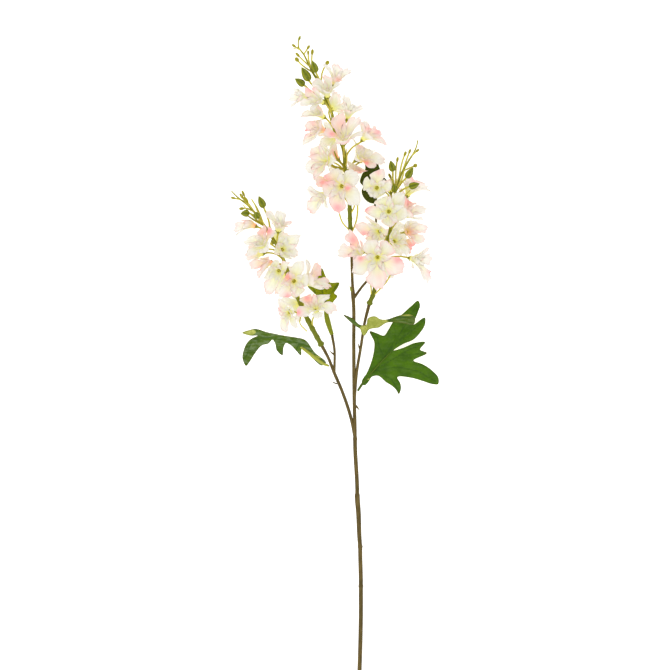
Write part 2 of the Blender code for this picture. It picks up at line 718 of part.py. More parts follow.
def leaf_mesh(name, outline, height, spacing):
    """The blade inside an outline seen from above, bent by a formula for its height."""
    edge = [Vector(point) for point in outline]
    inner = []
    low_x, low_y = min(p.x for p in edge), min(p.y for p in edge)
    high_x, high_y = max(p.x for p in edge), max(p.y for p in edge)
    for column in range(int((high_x - low_x) / spacing) + 1):
        for row in range(int((high_y - low_y) / spacing) + 1):
            spot = Vector((low_x + (column + 0.5 * (row % 2)) * spacing, low_y + row * spacing))
            if inside(spot, edge) and min((spot - p).length for p in edge) > 0.45 * spacing:
                inner.append(spot)
    count = len(edge)
    loops = [(index, (index + 1) % count) for index in range(count)]
    spots, _, faces, _, _, _ = delaunay_2d_cdt(edge + inner, loops, [list(range(count))], 1, 1e-5)
    mesh = bpy.data.meshes.new(name)
    points = [Vector((spot.x, spot.y, height(spot.x, spot.y))) * MM for spot in spots]
    mesh.from_pydata(points, [], faces)
    return mesh


def inside(spot, outline):
    crossings = False
    for a, b in zip(outline, outline[1:] + outline[:1]):
        if (a.y > spot.y) != (b.y > spot.y):
            if spot.x < a.x + (spot.y - a.y) / (b.y - a.y) * (b.x - a.x):
                crossings = not crossings
    return crossings


def add_leaf(name, outline, height, petiole, collection, material, spacing=16):
    """A blade of even thickness, fused to the stalk that runs into it."""
    obj = place(name + "_blade", leaf_mesh(name, outline, height, spacing), collection, material)
    blade = obj.modifiers.new("Blade", "SOLIDIFY")
    blade.thickness = LEAF_THICKNESS * MM
    blade.offset = 0
    graph = bpy.context.evaluated_depsgraph_get()
    solid = bpy.data.meshes.new_from_object(obj.evaluated_get(graph))
    bpy.data.objects.remove(obj)
    stalk = tube_mesh(name, [point for point, _ in petiole], [radius for _, radius in petiole], 6)
    return fused(name, [solid, stalk], collection, material)


def front_leaf_height(x, y):
    away = math.hypot(x - 36, y + 38)
    turn = math.atan2(y + 38, x - 36)
    return 26.5 - 0.13 * away + 0.025 * away * math.sin(5 * turn)


def left_leaf_height(x, y):
    ridge = 23.5 - 0.116 * min(x + 43, 0) - 1.07 * max(x + 43, 0)
    return 27.5 - 0.42 * (ridge - y)


def right_leaf_height(x, y):
    return 34.4 + 0.12 * abs(x - 39) - 0.1 * (y - 36)


def upper_leaf_height(x, y):
    return 13 - 0.05 * (y - 50) + 0.1 * abs(x + 14)


def back_leaf_height(x, y):
    return 4.5 + 0.05 * abs(x - 52) - 0.01 * (y - 210)


# Each leaf: its outline, its height, and the stalk that carries it, with the stalk's radii
LEAVES = [
    ("leaf_front", FRONT_LEAF, front_leaf_height, [
        ((31, -46, 27), 1.6), ((35, -39.5, 26.5), 1.7), ((46, -26, 24.3), 1.3),
        ((60, -10, 21.2), 1.1), ((76, 6, 17.9), 0.6),
    ]),
    ("leaf_left", LEFT_LEAF, left_leaf_height, [
        ((-8.4, -12.8, 27.9), 1.4), ((-14, -10.5, 28), 2.0), ((-29, 0, 25.5), 2.4),
        ((-43, 10.5, 23.5), 2.2), ((-58, 19, 24.5), 1.0),
    ]),
    ("leaf_right", RIGHT_LEAF, right_leaf_height, [
        ((40.3, 30, 33.6), 1.1), ((41, 35, 34.6), 1.3), ((44, 41, 34.6), 0.8),
    ]),
    ("leaf_upper", UPPER_LEAF, upper_leaf_height, [
        ((-4.2, 29.6, 15.8), 2.6), ((-7, 38, 14.5), 3.2), ((-10, 48, 13.5), 3.8),
        ((-12, 58, 13), 3.0), ((-14, 74, 12), 0.8),
    ]),
    ("leaf_back", BACK_LEAF, back_leaf_height, [
        ((55, 196.4, 5), 1.4), ((54, 206, 4.8), 1.4), ((52.5, 222, 4.5), 0.8),
    ]),
]


def main():
    clear_scene()
    collection = new_collection("delphinium_spray")
    materials = {
        "stem": new_material("stem_bark", COLOURS["stem"], 0.75),
        "stalk": new_material("stalk_green", COLOURS["stalk"], 0.6),
        "leaf": new_material("leaf_cloth", COLOURS["leaf"], 0.65),
        "petal": new_material("petal_cloth", COLOURS["petal"], 0.7),
    }
    add_stem(collection, materials["stem"])
    spikes = [add_spike(side, rows, collection, materials) for side, rows in SPIKES]
    every_floret = [floret for _, florets, _ in spikes for floret in florets]
    every_bud = [bud for _, _, buds in spikes for bud in buds]
    for axis, florets, _ in spikes:
        for floret in florets:
            walls = walls_between(floret, every_floret, every_bud, axis)
            add_floret(floret, walls, collection, materials["petal"])
    for name, outline, height, petiole in LEAVES:
        add_leaf(name, outline, height, petiole, collection, materials["leaf"])


main()
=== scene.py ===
"""How the delphinium spray looks: cloth petals and leaves on moulded stems, in soft studio light.

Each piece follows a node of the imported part, with the part's own routes, outlines and floret
rule, more finely sampled. Lengths are in millimetres and become metres in piece()."""

import json
import math
import random

import bpy
import numpy as np
from mathutils import Matrix, Vector
from mathutils.geometry import delaunay_2d_cdt
from numpy.linalg import norm

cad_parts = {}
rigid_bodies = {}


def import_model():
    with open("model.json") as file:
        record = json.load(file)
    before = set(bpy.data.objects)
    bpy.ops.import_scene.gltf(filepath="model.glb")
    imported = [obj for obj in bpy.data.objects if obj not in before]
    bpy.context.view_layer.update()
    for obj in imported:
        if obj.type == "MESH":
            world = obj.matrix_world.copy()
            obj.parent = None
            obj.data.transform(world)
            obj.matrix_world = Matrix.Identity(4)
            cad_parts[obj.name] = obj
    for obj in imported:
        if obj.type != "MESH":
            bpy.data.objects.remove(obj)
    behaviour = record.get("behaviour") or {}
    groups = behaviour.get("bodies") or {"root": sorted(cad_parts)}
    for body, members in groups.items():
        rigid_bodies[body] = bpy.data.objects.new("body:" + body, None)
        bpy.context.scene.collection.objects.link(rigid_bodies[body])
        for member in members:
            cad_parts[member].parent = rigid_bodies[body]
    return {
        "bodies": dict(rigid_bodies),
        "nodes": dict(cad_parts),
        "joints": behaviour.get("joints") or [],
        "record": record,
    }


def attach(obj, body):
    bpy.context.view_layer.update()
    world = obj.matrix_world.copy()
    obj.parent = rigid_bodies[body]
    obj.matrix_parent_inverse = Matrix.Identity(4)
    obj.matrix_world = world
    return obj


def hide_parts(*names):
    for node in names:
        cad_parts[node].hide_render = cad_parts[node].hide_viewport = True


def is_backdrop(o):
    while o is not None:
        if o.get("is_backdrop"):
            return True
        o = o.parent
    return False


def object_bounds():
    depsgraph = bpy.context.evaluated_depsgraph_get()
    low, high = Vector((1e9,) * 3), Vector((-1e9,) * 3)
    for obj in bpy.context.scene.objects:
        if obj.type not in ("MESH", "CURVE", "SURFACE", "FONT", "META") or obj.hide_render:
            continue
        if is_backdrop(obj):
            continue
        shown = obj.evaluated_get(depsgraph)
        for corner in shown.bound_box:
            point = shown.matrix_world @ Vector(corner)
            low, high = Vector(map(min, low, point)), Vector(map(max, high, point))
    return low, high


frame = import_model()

CAD_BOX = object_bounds()

MM = 0.001

# The photograph: its camera looks straight down, and one pixel is this many millimetres
MM_PER_PIXEL = 1.34
FRAME_PIXELS = 670
CAMERA_HEIGHT = 4000
AIM = (0, 28.8, 45)

# Dimensions shared with the part's source
PETAL_THICKNESS = 0.7
GAP = 0.3
TABLE_CLEARANCE = 0.5
SPIKE_HEIGHT = 29.0
STEM_RADIUS = 2.9
STEM_LOW = 2.4
RACHIS_RADIUS = 2.9
PEDICEL_RADIUS = 1.0
RING_RADIUS = 2.6
PEDICEL_LEAD = 27.0
BEAD_RADIUS = 2.9
OUTER_PETALS = 5
PETAL_STEP = 2 * math.pi / OUTER_PETALS
OUTER_ROOT = math.radians(14)
WIDEST_AT = 0.6
MOST_HALF_ANGLE = math.radians(31)
TURNS_TRIED = 9
LAYERING = 1.9

# How near another floret, a dark bud or the axis must come, past their sizes, to bend the petals
FLORET_NEARBY = 12
BUD_NEARBY = 10
AXIS_NEARBY = 25

# Finer detail that only this script adds
CLOTH = 0.12
LEAF_CLOTH = 0.5
FRAY = 1.055  # the petals' edges are frayed inwards here, so each starts out this much larger
RIPPLE = 0.035
VEIN_SPACING = 2.6
OUTER_GRID = (15, 23)
INNER_GRID = (12, 13)
CROWN_GRID = (10, 11)
SEPALS = 5
SEPAL_THICKNESS = 0.25
CUP_LENGTH = 4.5
THIN_STALK = 1.25
THICK_BRACT = 1.5
KNOBS = 4
STAMENS = 5
BUD_RIBS = 5
BUD_AT = [0, 0.06, 0.18, 0.36, 0.55, 0.76, 0.92, 1]
BUD_SWELL = [0.25, 0.66, 0.93, 1, 0.9, 0.6, 0.24, 0.03]

# Each kind of petal. A pair is a range that a random number is drawn from, in this order. Turn
# is in steps from one outer petal to the next, root is a half angle, length and width are shares
# of the floret's length, low and high are shares of how far it opens, more is added in degrees
OUTER_KIND = {
    "turn": 0, "root": OUTER_ROOT, "length": (0.86, 1.08), "width": (0.36, 0.45),
    "low": 0.4, "high": 1.5, "more": (-10, 16), "cup": (0.02, 0.1), "ruffle": (-0.05, 0.05),
    "lean": (-0.12, 0.12), "round": 0.2, "taper": 0.4, "notch": 0.07, "teeth": 4.2,
}
INNER_KIND = {
    "turn": 0.5, "root": PETAL_STEP / 2 - OUTER_ROOT, "length": (0.56, 0.76), "width": (0.15, 0.21),
    "low": 0.25, "high": 0.85, "more": (-8, 8), "cup": (-0.05, 0.05), "ruffle": 0.0,
    "lean": (-0.08, 0.08), "round": 0.3, "taper": 0.6, "notch": 0.1, "teeth": 3.0,
}
CROWN_KIND = {
    **INNER_KIND, "turn": (0.1, 0.4), "root": PETAL_STEP / 3, "length": (0.36, 0.52),
    "width": (0.12, 0.17), "low": 0.15, "high": (0.5, 0.8), "more": 0.0, "cup": (-0.05, 0.1),
    "lean": (-0.1, 0.1), "notch": 0.12,
}

# Places in the lists of materials of the green stalks, of a floret's heart and of the brown stem
BUD, BEAD, PALE_STALK = 1, 2, 3
KNOB, FILAMENT = 1, 2
BRACT = 1

# Route of each brown stem, as points with the stem's radius at each
STEM_ROUTE = [
    ((33, -432, STEM_LOW), STEM_RADIUS), ((34, -399, STEM_LOW), STEM_RADIUS),
    ((35, -353, 4), STEM_RADIUS), ((35, -314, 7), STEM_RADIUS), ((35, -311, 7.2), 3.4),
    ((35, -308, 7.5), STEM_RADIUS), ((34, -260, 11), STEM_RADIUS), ((34, -257, 11.3), 3.5),
    ((33.7, -254, 11.5), STEM_RADIUS), ((31.5, -209, 15), 3.4), ((30, -188, 16.5), 3.6),
    ((30, -184, 17), 2.8), ((27, -114, 22.5), 2.8), ((27, -111, 22.7), 3.3), ((27, -108, 23), 2.5),
    ((26, -60, 26), 2.5), ((25.2, 14, 29), 2.4), ((25, 70, SPIKE_HEIGHT), 2.4),
    ((24.2, 84, SPIKE_HEIGHT), 2.9), ((23.6, 96, SPIKE_HEIGHT), 2.0), ((22.5, 129, SPIKE_HEIGHT), 1.9),
    ((22, 160, SPIKE_HEIGHT), 1.9),
]
LEFT_BRANCH = [
    ((27, -110, 22.6), 2.3), ((23, -89, 24), 2.3), ((10, -48, 26), 2.2), ((-1, -22, 27), 2.3),
    ((-9, -2, 28), 2.0), ((-18, 15, SPIKE_HEIGHT), 2.3),
]
TWIG = [
    ((-1, -22, 27), 1.9), ((-0.5, -7, 25), 1.7), ((-0.5, 6, 22), 1.7), ((-4, 29, 16), 1.9),
]
RIGHT_BRANCH = [
    ((26.4, -56, 26), 2.0), ((29, -23, 29), 2.0), ((35, 14, 31), 1.9), ((40, 46, 31), 1.9),
    ((46, 70, 30), 2.4),
]
BACK_BRANCH = [
    ((25, 78, SPIKE_HEIGHT), 2.0), ((35, 92, 27), 1.7), ((46, 106, 22), 1.7), ((53, 133, 9), 1.5),
    ((56, 158, 5), 1.5), ((55, 196, 5), 1.4),
]

# Small bracts and thorns on the brown stems: where each is rooted, its tip and its radius. The
# thorn on the left branch stands as in the photograph, about 13 mm from the part's own
BRACTS = [
    ((24, 86, 29), (19.5, 95, 31), 1.9), ((28, -66, 26), (33.5, -73, 27), 1.2),
    ((33, 10, 31), (31, 18, 32.5), 1.0), ((2.5, -37, 27), (-5.5, -33.5, 28), 0.9),
    ((-1, 2, 23), (-8, 8, 23), 1.0),
]

# Middle line of each spike's green stalk, as (x, y, height offset, radius share)
CENTRE_AXIS = [
    (22, 160.4, 0, 0.8), (21, 170, 0, 0.95), (19, 212, 0, 0.95), (14, 250, 1, 0.9), (11, 280, 1, 0.85),
    (-1, 306, 1, 0.8), (-4, 326, 1, 0.72), (-13, 347, 2, 0.65), (-20, 366, 2, 0.6), (-30, 382, 2, 0.55),
    (-37, 396, 3, 0.45), (-42, 406, 3, 0.42), (-49, 416, 4, 0.36), (-49, 424, 5, 0.34),
    (-47.7, 427.6, 6, 0.66), (-46.6, 430.5, 6, 0.3),
]
RIGHT_AXIS = [
    (46.2, 70.7, 1, 1.15), (47.6, 74.5, 1, 0.95), (51, 82, 1, 0.95), (57, 109, 0, 0.95),
    (65, 136, 0, 0.9), (73, 163, 0, 0.85), (77, 190, 0, 0.8), (79, 210, 1, 0.7), (83, 228, 2, 0.6),
    (90, 247, 3, 0.52), (99, 263, 4, 0.45), (106, 274, 5, 0.38), (110, 284, 6, 0.3),
    (111, 290, 7, 0.34),
]
LEFT_AXIS = [
    (-18.2, 15.4, 0, 1.2), (-20.8, 20, 0, 1.0), (-35, 46, 0, 1.1), (-48, 74, 0, 0.95),
    (-57, 96, 0, 0.9), (-68, 127, 0, 0.82), (-78, 149, 0, 0.75), (-91, 170, 1, 0.65),
    (-105, 190, 2, 0.6), (-118, 204, 4, 0.5), (-131, 214, 5, 0.36), (-139, 222, 6, 0.3),
]

# Each floret: name, base (x, y, height over the spike), azimuth and elevation that its mouth
# faces in degrees, petal length, and how far the petals open from the mouth's axis in degrees.
# Where the photograph shows its petals one by one, also where the first one points as seen from
# above, in degrees, how wide they are, and the length of each, as shares
CENTRE_FLORETS = [
    ("c01", (-1, 365, 7), 71, 22, 33, 42, 84, 0.72, (1, 0.9, 0.5, 0.6, 0.9)),
    ("c02", (-10, 348, 13), 100, 38, 33, 45),
    ("c03", (-37, 348, 4), 172, 12, 28, 40, 180, 1.1, (1, 0.9, 0.7, 0.7, 0.9)),
    ("c04", (-16, 340, 16), 156, 44, 30, 42),
    ("c05", (-15, 321, 11), 151, 37, 31, 46),
    ("c06", (16, 319, 6), 72, 12, 32, 40, 96, 0.75, (1, 0.6, 0.5, 0.9, 0.9)),
    ("c07", (-14, 303, 12), 164, 34, 35, 57),
    ("c08", (12, 285, 17), 92, 46, 40, 46),
    ("c09", (37, 291, 7), 47, 26, 32, 54),
    ("c10", (33, 262, 12), 53, 44, 34, 64),
    ("c11", (-8, 262, 14), 166, 44, 38, 74),
    ("c12", (9, 228, 19), 215, 74, 39, 76, -98, 1.05, (1.05, 0.95, 0.9, 1, 0.8)),
    ("c13", (27, 244, 12), 78, 44, 25, 52),
    ("c14", (-11, 219, 4), 212, 20, 36, 56, 226, 0.9, (1.15, 0.6, 0.6, 0.8, 0.8)),
    ("c15", (4, 265, 0), 134, -2, 24, 46),
    ("c16", (28, 264, -3), 44, -10, 28, 50),
    ("c17", (2, 298, -12), 196, -44, 29, 56),
    ("c18", (14, 244, -12), 230, -56, 31, 58),
    ("c19", (-6, 332, -10), 52, -40, 27, 53),
    ("c20", (-6, 238, 5), 207, 14, 27, 56),
]
RIGHT_FLORETS = [
    ("r01", (97, 216, 1), 65, 12, 36, 50),
    ("r02", (75, 221, -7), 98, 0, 23, 38),
    ("r03", (56, 226, 17), 250, 80, 31, 80, -65, 0.95, (0.9, 0.85, 1, 1, 0.4)),
    ("r04", (72, 194, 20), 90, 84, 36, 83, -100, 0.75, (1, 1, 1, 1, 1)),
    ("r05", (91, 187, 9), 38, 32, 33, 50),
    ("r06", (95, 167, 13), 12, 54, 31, 60),
    ("r07", (60, 168, 14), 200, 58, 34, 72),
    ("r08", (37, 140, 12), 170, 46, 31, 60, 118, 1.25, (1, 1.1, 0.5, 0.5, 0.8)),
    ("r09", (57, 133, 20), 262, 76, 40, 76, -90, 1.1, (1.05, 1, 0.8, 0.9, 1.1)),
    ("r10", (89, 153, 3), 350, 8, 25, 46),
    ("r11", (101, 132, 3), 346, 28, 37, 46, -50, 1.4, (1.1, 0.75, 0.75, 0.5, 0.5)),
    ("r12", (84, 202, -9), 24, -30, 27, 52),
    ("r13", (70, 160, -11), 350, -50, 31, 58),
    ("r14", (64, 130, -11), 280, -60, 26, 58),
    ("r15", (79, 154, 13), 30, 64, 31, 60),
]
LEFT_FLORETS = [
    ("l01", (-107, 175, 6), 160, 18, 30, 48),
    ("l02", (-76, 168, 9), 80, 28, 30, 44, 80, 1, (1, 1, 0.7, 0.7, 0.75)),
    ("l03", (-92, 147, 12), 137, 40, 35, 60),
    ("l04", (-71, 143, 14), 30, 62, 30, 72, 44, 0.9, (1.1, 0.8, 0.9, 0.9, 0.8)),
    ("l05", (-96, 139, 3), 184, -3, 26, 48),
    ("l06", (-85, 126, 12), 190, 44, 28, 50),
    ("l07", (-75, 115, 16), 236, 70, 31, 74, 244, 0.9, (1.15, 0.8, 0.9, 0.8, 0.8)),
    ("l08", (-55, 101, 18), 300, 80, 33, 78, 78, 0.9, (1.1, 0.9, 1, 1, 0.9)),
    ("l09", (-42, 97, 8), 28, 26, 35, 52),
    ("l10", (-60, 59, 10), 204, 50, 27, 76, 252, 0.75, (1, 1, 0.6, 0.9, 0.6)),
    ("l11", (-26, 61, 14), 92, 52, 36, 68, 6, 0.9, (0.8, 0.95, 1.05, 0.9, 0.5)),
    ("l12", (-84, 154, -11), 40, -44, 29, 56),
    ("l13", (-64, 112, -12), 220, -56, 31, 58),
    ("l14", (-46, 72, -11), 200, -48, 29, 56),
]

# Each bud: the route of its stalk from the spike's axis to the bud's base, as (x, y, height over
# the spike), then its tip and its greatest radius
CENTRE_BUDS = [
    ([(-46, 412, 3), (-52, 415, 5)], (-58, 419.5, 6), 1.9),
    ([(-42, 406, 3), (-38, 412, 5)], (-34, 418, 7), 1.9),
    ([(-32, 385, 2), (-36, 404, 8)], (-36, 411, 8), 1.7),
    ([(-31, 383, 2), (-31, 404, 5)], (-30, 413, 6), 2.1),
    ([(-34, 389, 3), (-47, 402, 5)], (-53, 408, 6), 2.0),
    ([(-30, 381, 2), (-48.5, 395.5, 6)], (-53.5, 401.5, 7), 2.8),
    ([(-19, 362, 2), (-17.5, 381, -4), (-12.5, 392.5, -7)], (-8.5, 398.5, -8), 2.7),
    ([(-18, 358, 2), (-22, 374, 7), (-25.5, 381, 9)], (-30.5, 397, 11), 4.8),
    ([(-19, 352, 2), (-30, 364, 8), (-34.5, 369.5, 11)], (-45, 388, 13), 5.7),
    ([(-16, 338, 2), (-34, 358, 6), (-41, 364, 6)], (-54, 373.5, 5), 4.9),
]
RIGHT_BUDS = [
    ([(104, 270, 5), (108, 274, 7)], (113, 278.5, 8), 1.7),
    ([(88, 244, 3), (99, 272, 6)], (101.5, 278.5, 8), 1.8),
    ([(84, 232, 2), (92.5, 268, 7)], (95.5, 275.5, 9), 2.0),
    ([(81, 222, 1), (83, 260, 8)], (84.5, 268, 9), 1.8),
    ([(92, 249, 3), (104.5, 255, 7)], (110.5, 257.5, 8), 2.7),
    ([(80, 216, 1), (77.5, 240, 10), (77.5, 248, 12)], (74.5, 263, 13), 4.7),
    ([(79, 208, 1), (80, 217, 10), (80, 221, 12)], (79, 231, 19), 4.4),
    ([(82, 222, 2), (91, 235, 10), (95.5, 239.5, 12)], (105, 253.5, 13), 4.8),
    ([(79, 212, 1), (90, 223, 17), (99, 227, 25)], (113, 231, 29), 4.8),
    ([(82, 226, 2), (76, 238, 4)], (72, 246, 5), 1.8),
]
LEFT_BUDS = [
    ([(-127, 211, 5), (-133, 212, 6)], (-140, 213.5, 7), 1.8),
    ([(-113, 198, 3), (-121, 214, 7)], (-125, 223, 9), 1.8),
    ([(-115, 200, 3), (-122, 210, 9)], (-128, 219, 11), 1.9),
    ([(-110, 194, 3), (-121, 199, 8)], (-129, 198, 9), 2.1),
    ([(-107, 192, 2), (-116, 205, 8)], (-123, 214, 10), 2.8),
    ([(-102, 186, 2), (-112, 191, 9), (-115, 192, 11)], (-127, 191.5, 12), 4.8),
    ([(-98, 180, 2), (-102, 184, 11), (-104, 187, 14)], (-106, 192, 25), 4.8),
    ([(-86, 163, 1), (-89, 182, 7), (-95.5, 199.5, 9)], (-102.5, 215.5, 10), 4.9),
]

# Stalks that carry no bud, with their radius
CENTRE_BARE_STALKS = [
    ([(21, 168, 0), (10, 180, 4), (4.5, 197, 6)], 0.9),
    ([(21, 164, 0), (29, 184, 3), (30, 206, 4), (28, 216, 5)], 0.95),
    ([(19.6, 190, 0), (26, 202, 3), (25, 214, 4)], 0.9),
    ([(8, 286, 1), (2, 300, 9), (5, 326, 9)], 0.8),
    ([(-49, 417, 4), (-51, 414.6, 5), (-56, 413, 7)], 0.6),
]
RIGHT_BARE_STALKS = [
    ([(49, 78, 1), (48.5, 92, 4), (47.5, 104, 6)], 0.9),
    ([(49, 80, 1), (57, 87, 4), (69, 100, 6), (76, 112, 6)], 0.9),
]
LEFT_BARE_STALKS = [
    ([(-43, 62, 0), (-47, 44, 6), (-38, 34, 7)], 0.7),
    ([(-95, 176, 1), (-104, 198, 5), (-112, 211, 6)], 0.9),
]

SPIKES = [
    ("centre", (CENTRE_AXIS, CENTRE_FLORETS, CENTRE_BUDS, CENTRE_BARE_STALKS)),
    ("left", (LEFT_AXIS, LEFT_FLORETS, LEFT_BUDS, LEFT_BARE_STALKS)),
    ("right", (RIGHT_AXIS, RIGHT_FLORETS, RIGHT_BUDS, RIGHT_BARE_STALKS)),
]

# Olive stalks and spurs that only the look has, among the florets and the tips
SMALL_STALKS = {
    "centre": [
        ([(7, 255, 4), (3, 265, 9), (-1, 275, 12)], 1.4),
        ([(-1, 250, 4), (-5, 257, 9), (-10, 263, 12)], 1.9),
        ([(13, 252, 4), (16, 266, 7), (15, 279, 8)], 0.9),
    ],
    "left": [
        ([(-96, 172, 2), (-112, 190, 8), (-124, 204, 11)], 1.0),
        ([(-92, 169, 2), (-102, 190, 7), (-110, 209, 9)], 1.0),
        ([(-98, 173, 2), (-110, 184, 9), (-119, 190, 12)], 1.3),
    ],
    "right": [
        ([(77, 206, 3), (82, 223, 9), (90, 239, 12), (93, 250, 13)], 1.2),
        ([(79, 205, 3), (90, 213, 9), (101, 223, 11)], 1.1),
        ([(75, 203, 3), (80, 220, 10), (84, 237, 13)], 1.1),
    ],
}

# Outline of each leaf, seen from above
FRONT_LEAF = [
    (36, -37), (36, -34), (43, -22), (48, -10), (52, 5), (53, 19), (47, 34), (57, 31), (66, 28),
    (72, 36), (78, 46), (93, 59), (103, 68), (113, 75), (115, 70), (112, 59), (106, 43), (122, 52),
    (122, 44), (116, 33), (105, 22), (93, 17), (79, 8), (93, 12), (107, 18), (122, 19), (115, 9),
    (124, 5), (106, -6), (117, -10), (131, -19), (140, -30), (139, -38), (134, -38), (117, -33),
    (103, -29), (84, -29), (88, -36), (89, -44), (86, -51), (83, -46), (77, -40), (69, -35), (57, -26),
    (49, -28), (46, -33), (39, -39),
]
LEFT_LEAF = [
    (-13, -10), (-27, 5), (-43, 23.5), (-50, 25), (-66, 27.5), (-91, 32.5), (-109, 37), (-117, 35),
    (-125, 32), (-114, 28), (-104, 28), (-113, 23.5), (-118, 19), (-123, 9), (-125, -3), (-120, -13),
    (-115, -7), (-108, 4), (-97, 15.5), (-90, 17), (-84, 22.5), (-80.5, 17), (-79, 9), (-71, 1.5),
    (-69, 13), (-66, 18), (-61, 16), (-51, 6), (-46, 1), (-45, 11), (-30, -3), (-16, -12),
]
RIGHT_LEAF = [
    (11, 56), (24, 51), (34, 42.5), (42, 42.5), (44, 51), (54, 54), (61, 50), (71, 50), (81, 53.5),
    (91, 56), (102, 56), (107, 52), (106, 43.5), (92, 44.5), (79, 46), (70, 45.5), (59, 39), (45, 35.5),
    (42, 30.5), (39, 27.5), (36, 30.5), (34, 36.5), (27, 41), (20, 47),
]
UPPER_LEAF = [
    (-10, 50), (-7, 66), (-2, 74), (3, 82), (-1, 85), (3, 92), (6, 99), (-7, 100), (-12, 107),
    (-18, 119), (-23, 110), (-26, 103), (-29, 98), (-37, 96), (-29, 86), (-18, 76), (-14, 62),
]
BACK_LEAF = [
    (46, 276), (56, 267), (60, 256), (64, 246), (75, 228), (70, 222), (62, 219), (58, 215), (54, 207),
    (49, 207), (40, 213), (36, 224), (38, 230), (34, 235), (36, 245), (41, 254), (40, 264),
]

# Veins of each leaf, seen from above, from the leaf's stalk outwards
FRONT_VEINS = [
    [(50, -20), (66, -2), (84, 26), (98, 46), (111, 70)], [(72, 6), (92, 26), (108, 38), (120, 49)],
    [(54, -18), (78, -4), (98, 8), (120, 18)], [(86, 2), (104, 2), (122, 5)],
    [(54, -20), (84, -14), (112, -20), (136, -34)], [(60, -22), (76, -31), (86, -47)],
    [(66, -2), (60, 12), (56, 29)],
]
LEFT_VEINS = [
    [(-42, 16), (-66, 22), (-92, 26), (-112, 22), (-122, -6)], [(-60, 20), (-66, 12), (-68, 4)],
    [(-48, 18), (-52, 10), (-48, 3)], [(-80, 25), (-84, 20), (-80, 10)],
]
RIGHT_VEINS = [
    [(42, 36), (58, 46), (78, 52), (100, 53)], [(42, 38), (30, 44), (14, 54)],
    [(66, 48), (88, 49), (104, 45)],
]
UPPER_VEINS = [
    [(-12, 52), (-16, 76), (-18, 98), (-18, 117)], [(-15, 70), (-6, 84), (4, 98)],
    [(-15, 72), (-26, 86), (-34, 95)],
]
BACK_VEINS = [
    [(53, 208), (52, 232), (50, 254), (47, 274)], [(53, 222), (62, 232), (72, 229)],
    [(52, 226), (44, 232), (36, 235)],
]

# Where a leaf shows its pale underside, seen from above: leaf, centre, reach in x and y
PALE_PATCHES = [
    ("right", (53, 45), (19, 10)), ("right", (39, 35), (6.5, 8)), ("right", (97, 56), (12, 1.6)),
    ("left", (-116, 33), (10, 4.5)), ("left", (-30, -1), (14, 2.5)), ("front", (48, -31), (5, 1.5)),
]

# Rings that swell the green stalks near their roots: distance from the root, share of the radius
SLEEVE_KNOBS = [(1.5, 0.3), (12, 0.26), (25, 0.22), (37, 0.22), (50, 0.16)]

# Where the cloth blushes, seen from above: floret, centre, radius, strength
BLUSHES = [
    ("c01", (4, 370), 9, 0.5), ("c04", (-33, 357), 7, 1.0), ("c05", (-20, 339), 10, 0.35),
    ("c07", (-40, 300), 9, 0.9), ("c07", (-13, 303), 10, 0.8), ("c07", (-30, 314), 12, 0.4),
    ("c08", (8, 312), 14, 0.5), ("c08", (-4, 297), 9, 0.9), ("c08", (28, 284), 12, 0.4),
    ("c09", (57, 302), 9, 0.8), ("c09", (44, 306), 9, 0.5), ("c10", (42, 258), 8, 1.0),
    ("c10", (34, 284), 14, 0.3), ("c15", (1, 268), 14, 0.9), ("c12", (-12, 236), 14, 0.9),
    ("c12", (3, 199), 13, 0.9), ("c12", (17, 225), 6, 1.0), ("c13", (34, 240), 18, 0.8),
    ("c14", (-36, 194), 9, 0.5), ("c20", (-16, 232), 12, 0.8), ("c11", (-30, 270), 14, 0.25),
    ("r01", (109, 239), 12, 0.6), ("r03", (58, 246), 9, 0.5), ("r04", (42, 197), 8, 0.9),
    ("r05", (98, 207), 14, 0.8), ("r06", (100, 166), 12, 0.5), ("r07", (39, 165), 10, 0.8),
    ("r08", (25, 157), 14, 1.0), ("r08", (16, 134), 12, 0.3), ("r09", (34, 131), 8, 0.9),
    ("r09", (84, 129), 12, 0.9), ("r09", (60, 106), 14, 0.25), ("r10", (103, 148), 15, 0.8),
    ("r11", (129, 113), 10, 0.6), ("l01", (-120, 186), 12, 0.4), ("l01", (-106, 176), 8, 0.9),
    ("l02", (-58, 184), 10, 0.4), ("l03", (-88, 168), 9, 1.0), ("l03", (-98, 166), 8, 0.6),
    ("l05", (-114, 141), 9, 1.0), ("l06", (-83, 127), 9, 0.9), ("l06", (-100, 122), 12, 0.4),
    ("l08", (-63, 106), 8, 1.0), ("l08", (-63, 81), 9, 0.8), ("l09", (-26, 112), 14, 0.4),
    ("l11", (-37, 78), 10, 1.0), ("l11", (-49, 59), 8, 1.0), ("l10", (-78, 64), 10, 0.4),
]


def srgb(colour):
    """A colour given as 0 to 255 screen values, in Blender's linear ones."""
    shares = [value / 255 for value in colour]
    return (*(s / 12.92 if s <= 0.04045 else ((s + 0.055) / 1.055) ** 2.4 for s in shares), 1.0)


def unit(vector):
    return vector / norm(vector)


def spoke(turn):
    return np.array([math.cos(turn), math.sin(turn), 0])


def distances(points):
    """How far along a line of points each one lies."""
    return np.concatenate([[0], np.cumsum(norm(np.diff(points, axis=0), axis=1))])


def placed(name, data):
    """A new object of the scene."""
    obj = bpy.data.objects.new(name, data)
    bpy.context.scene.collection.objects.link(obj)
    return obj


def smooth(value, low, high):
    share = np.clip((value - low) / (high - low), 0, 1)
    return share * share * (3 - 2 * share)


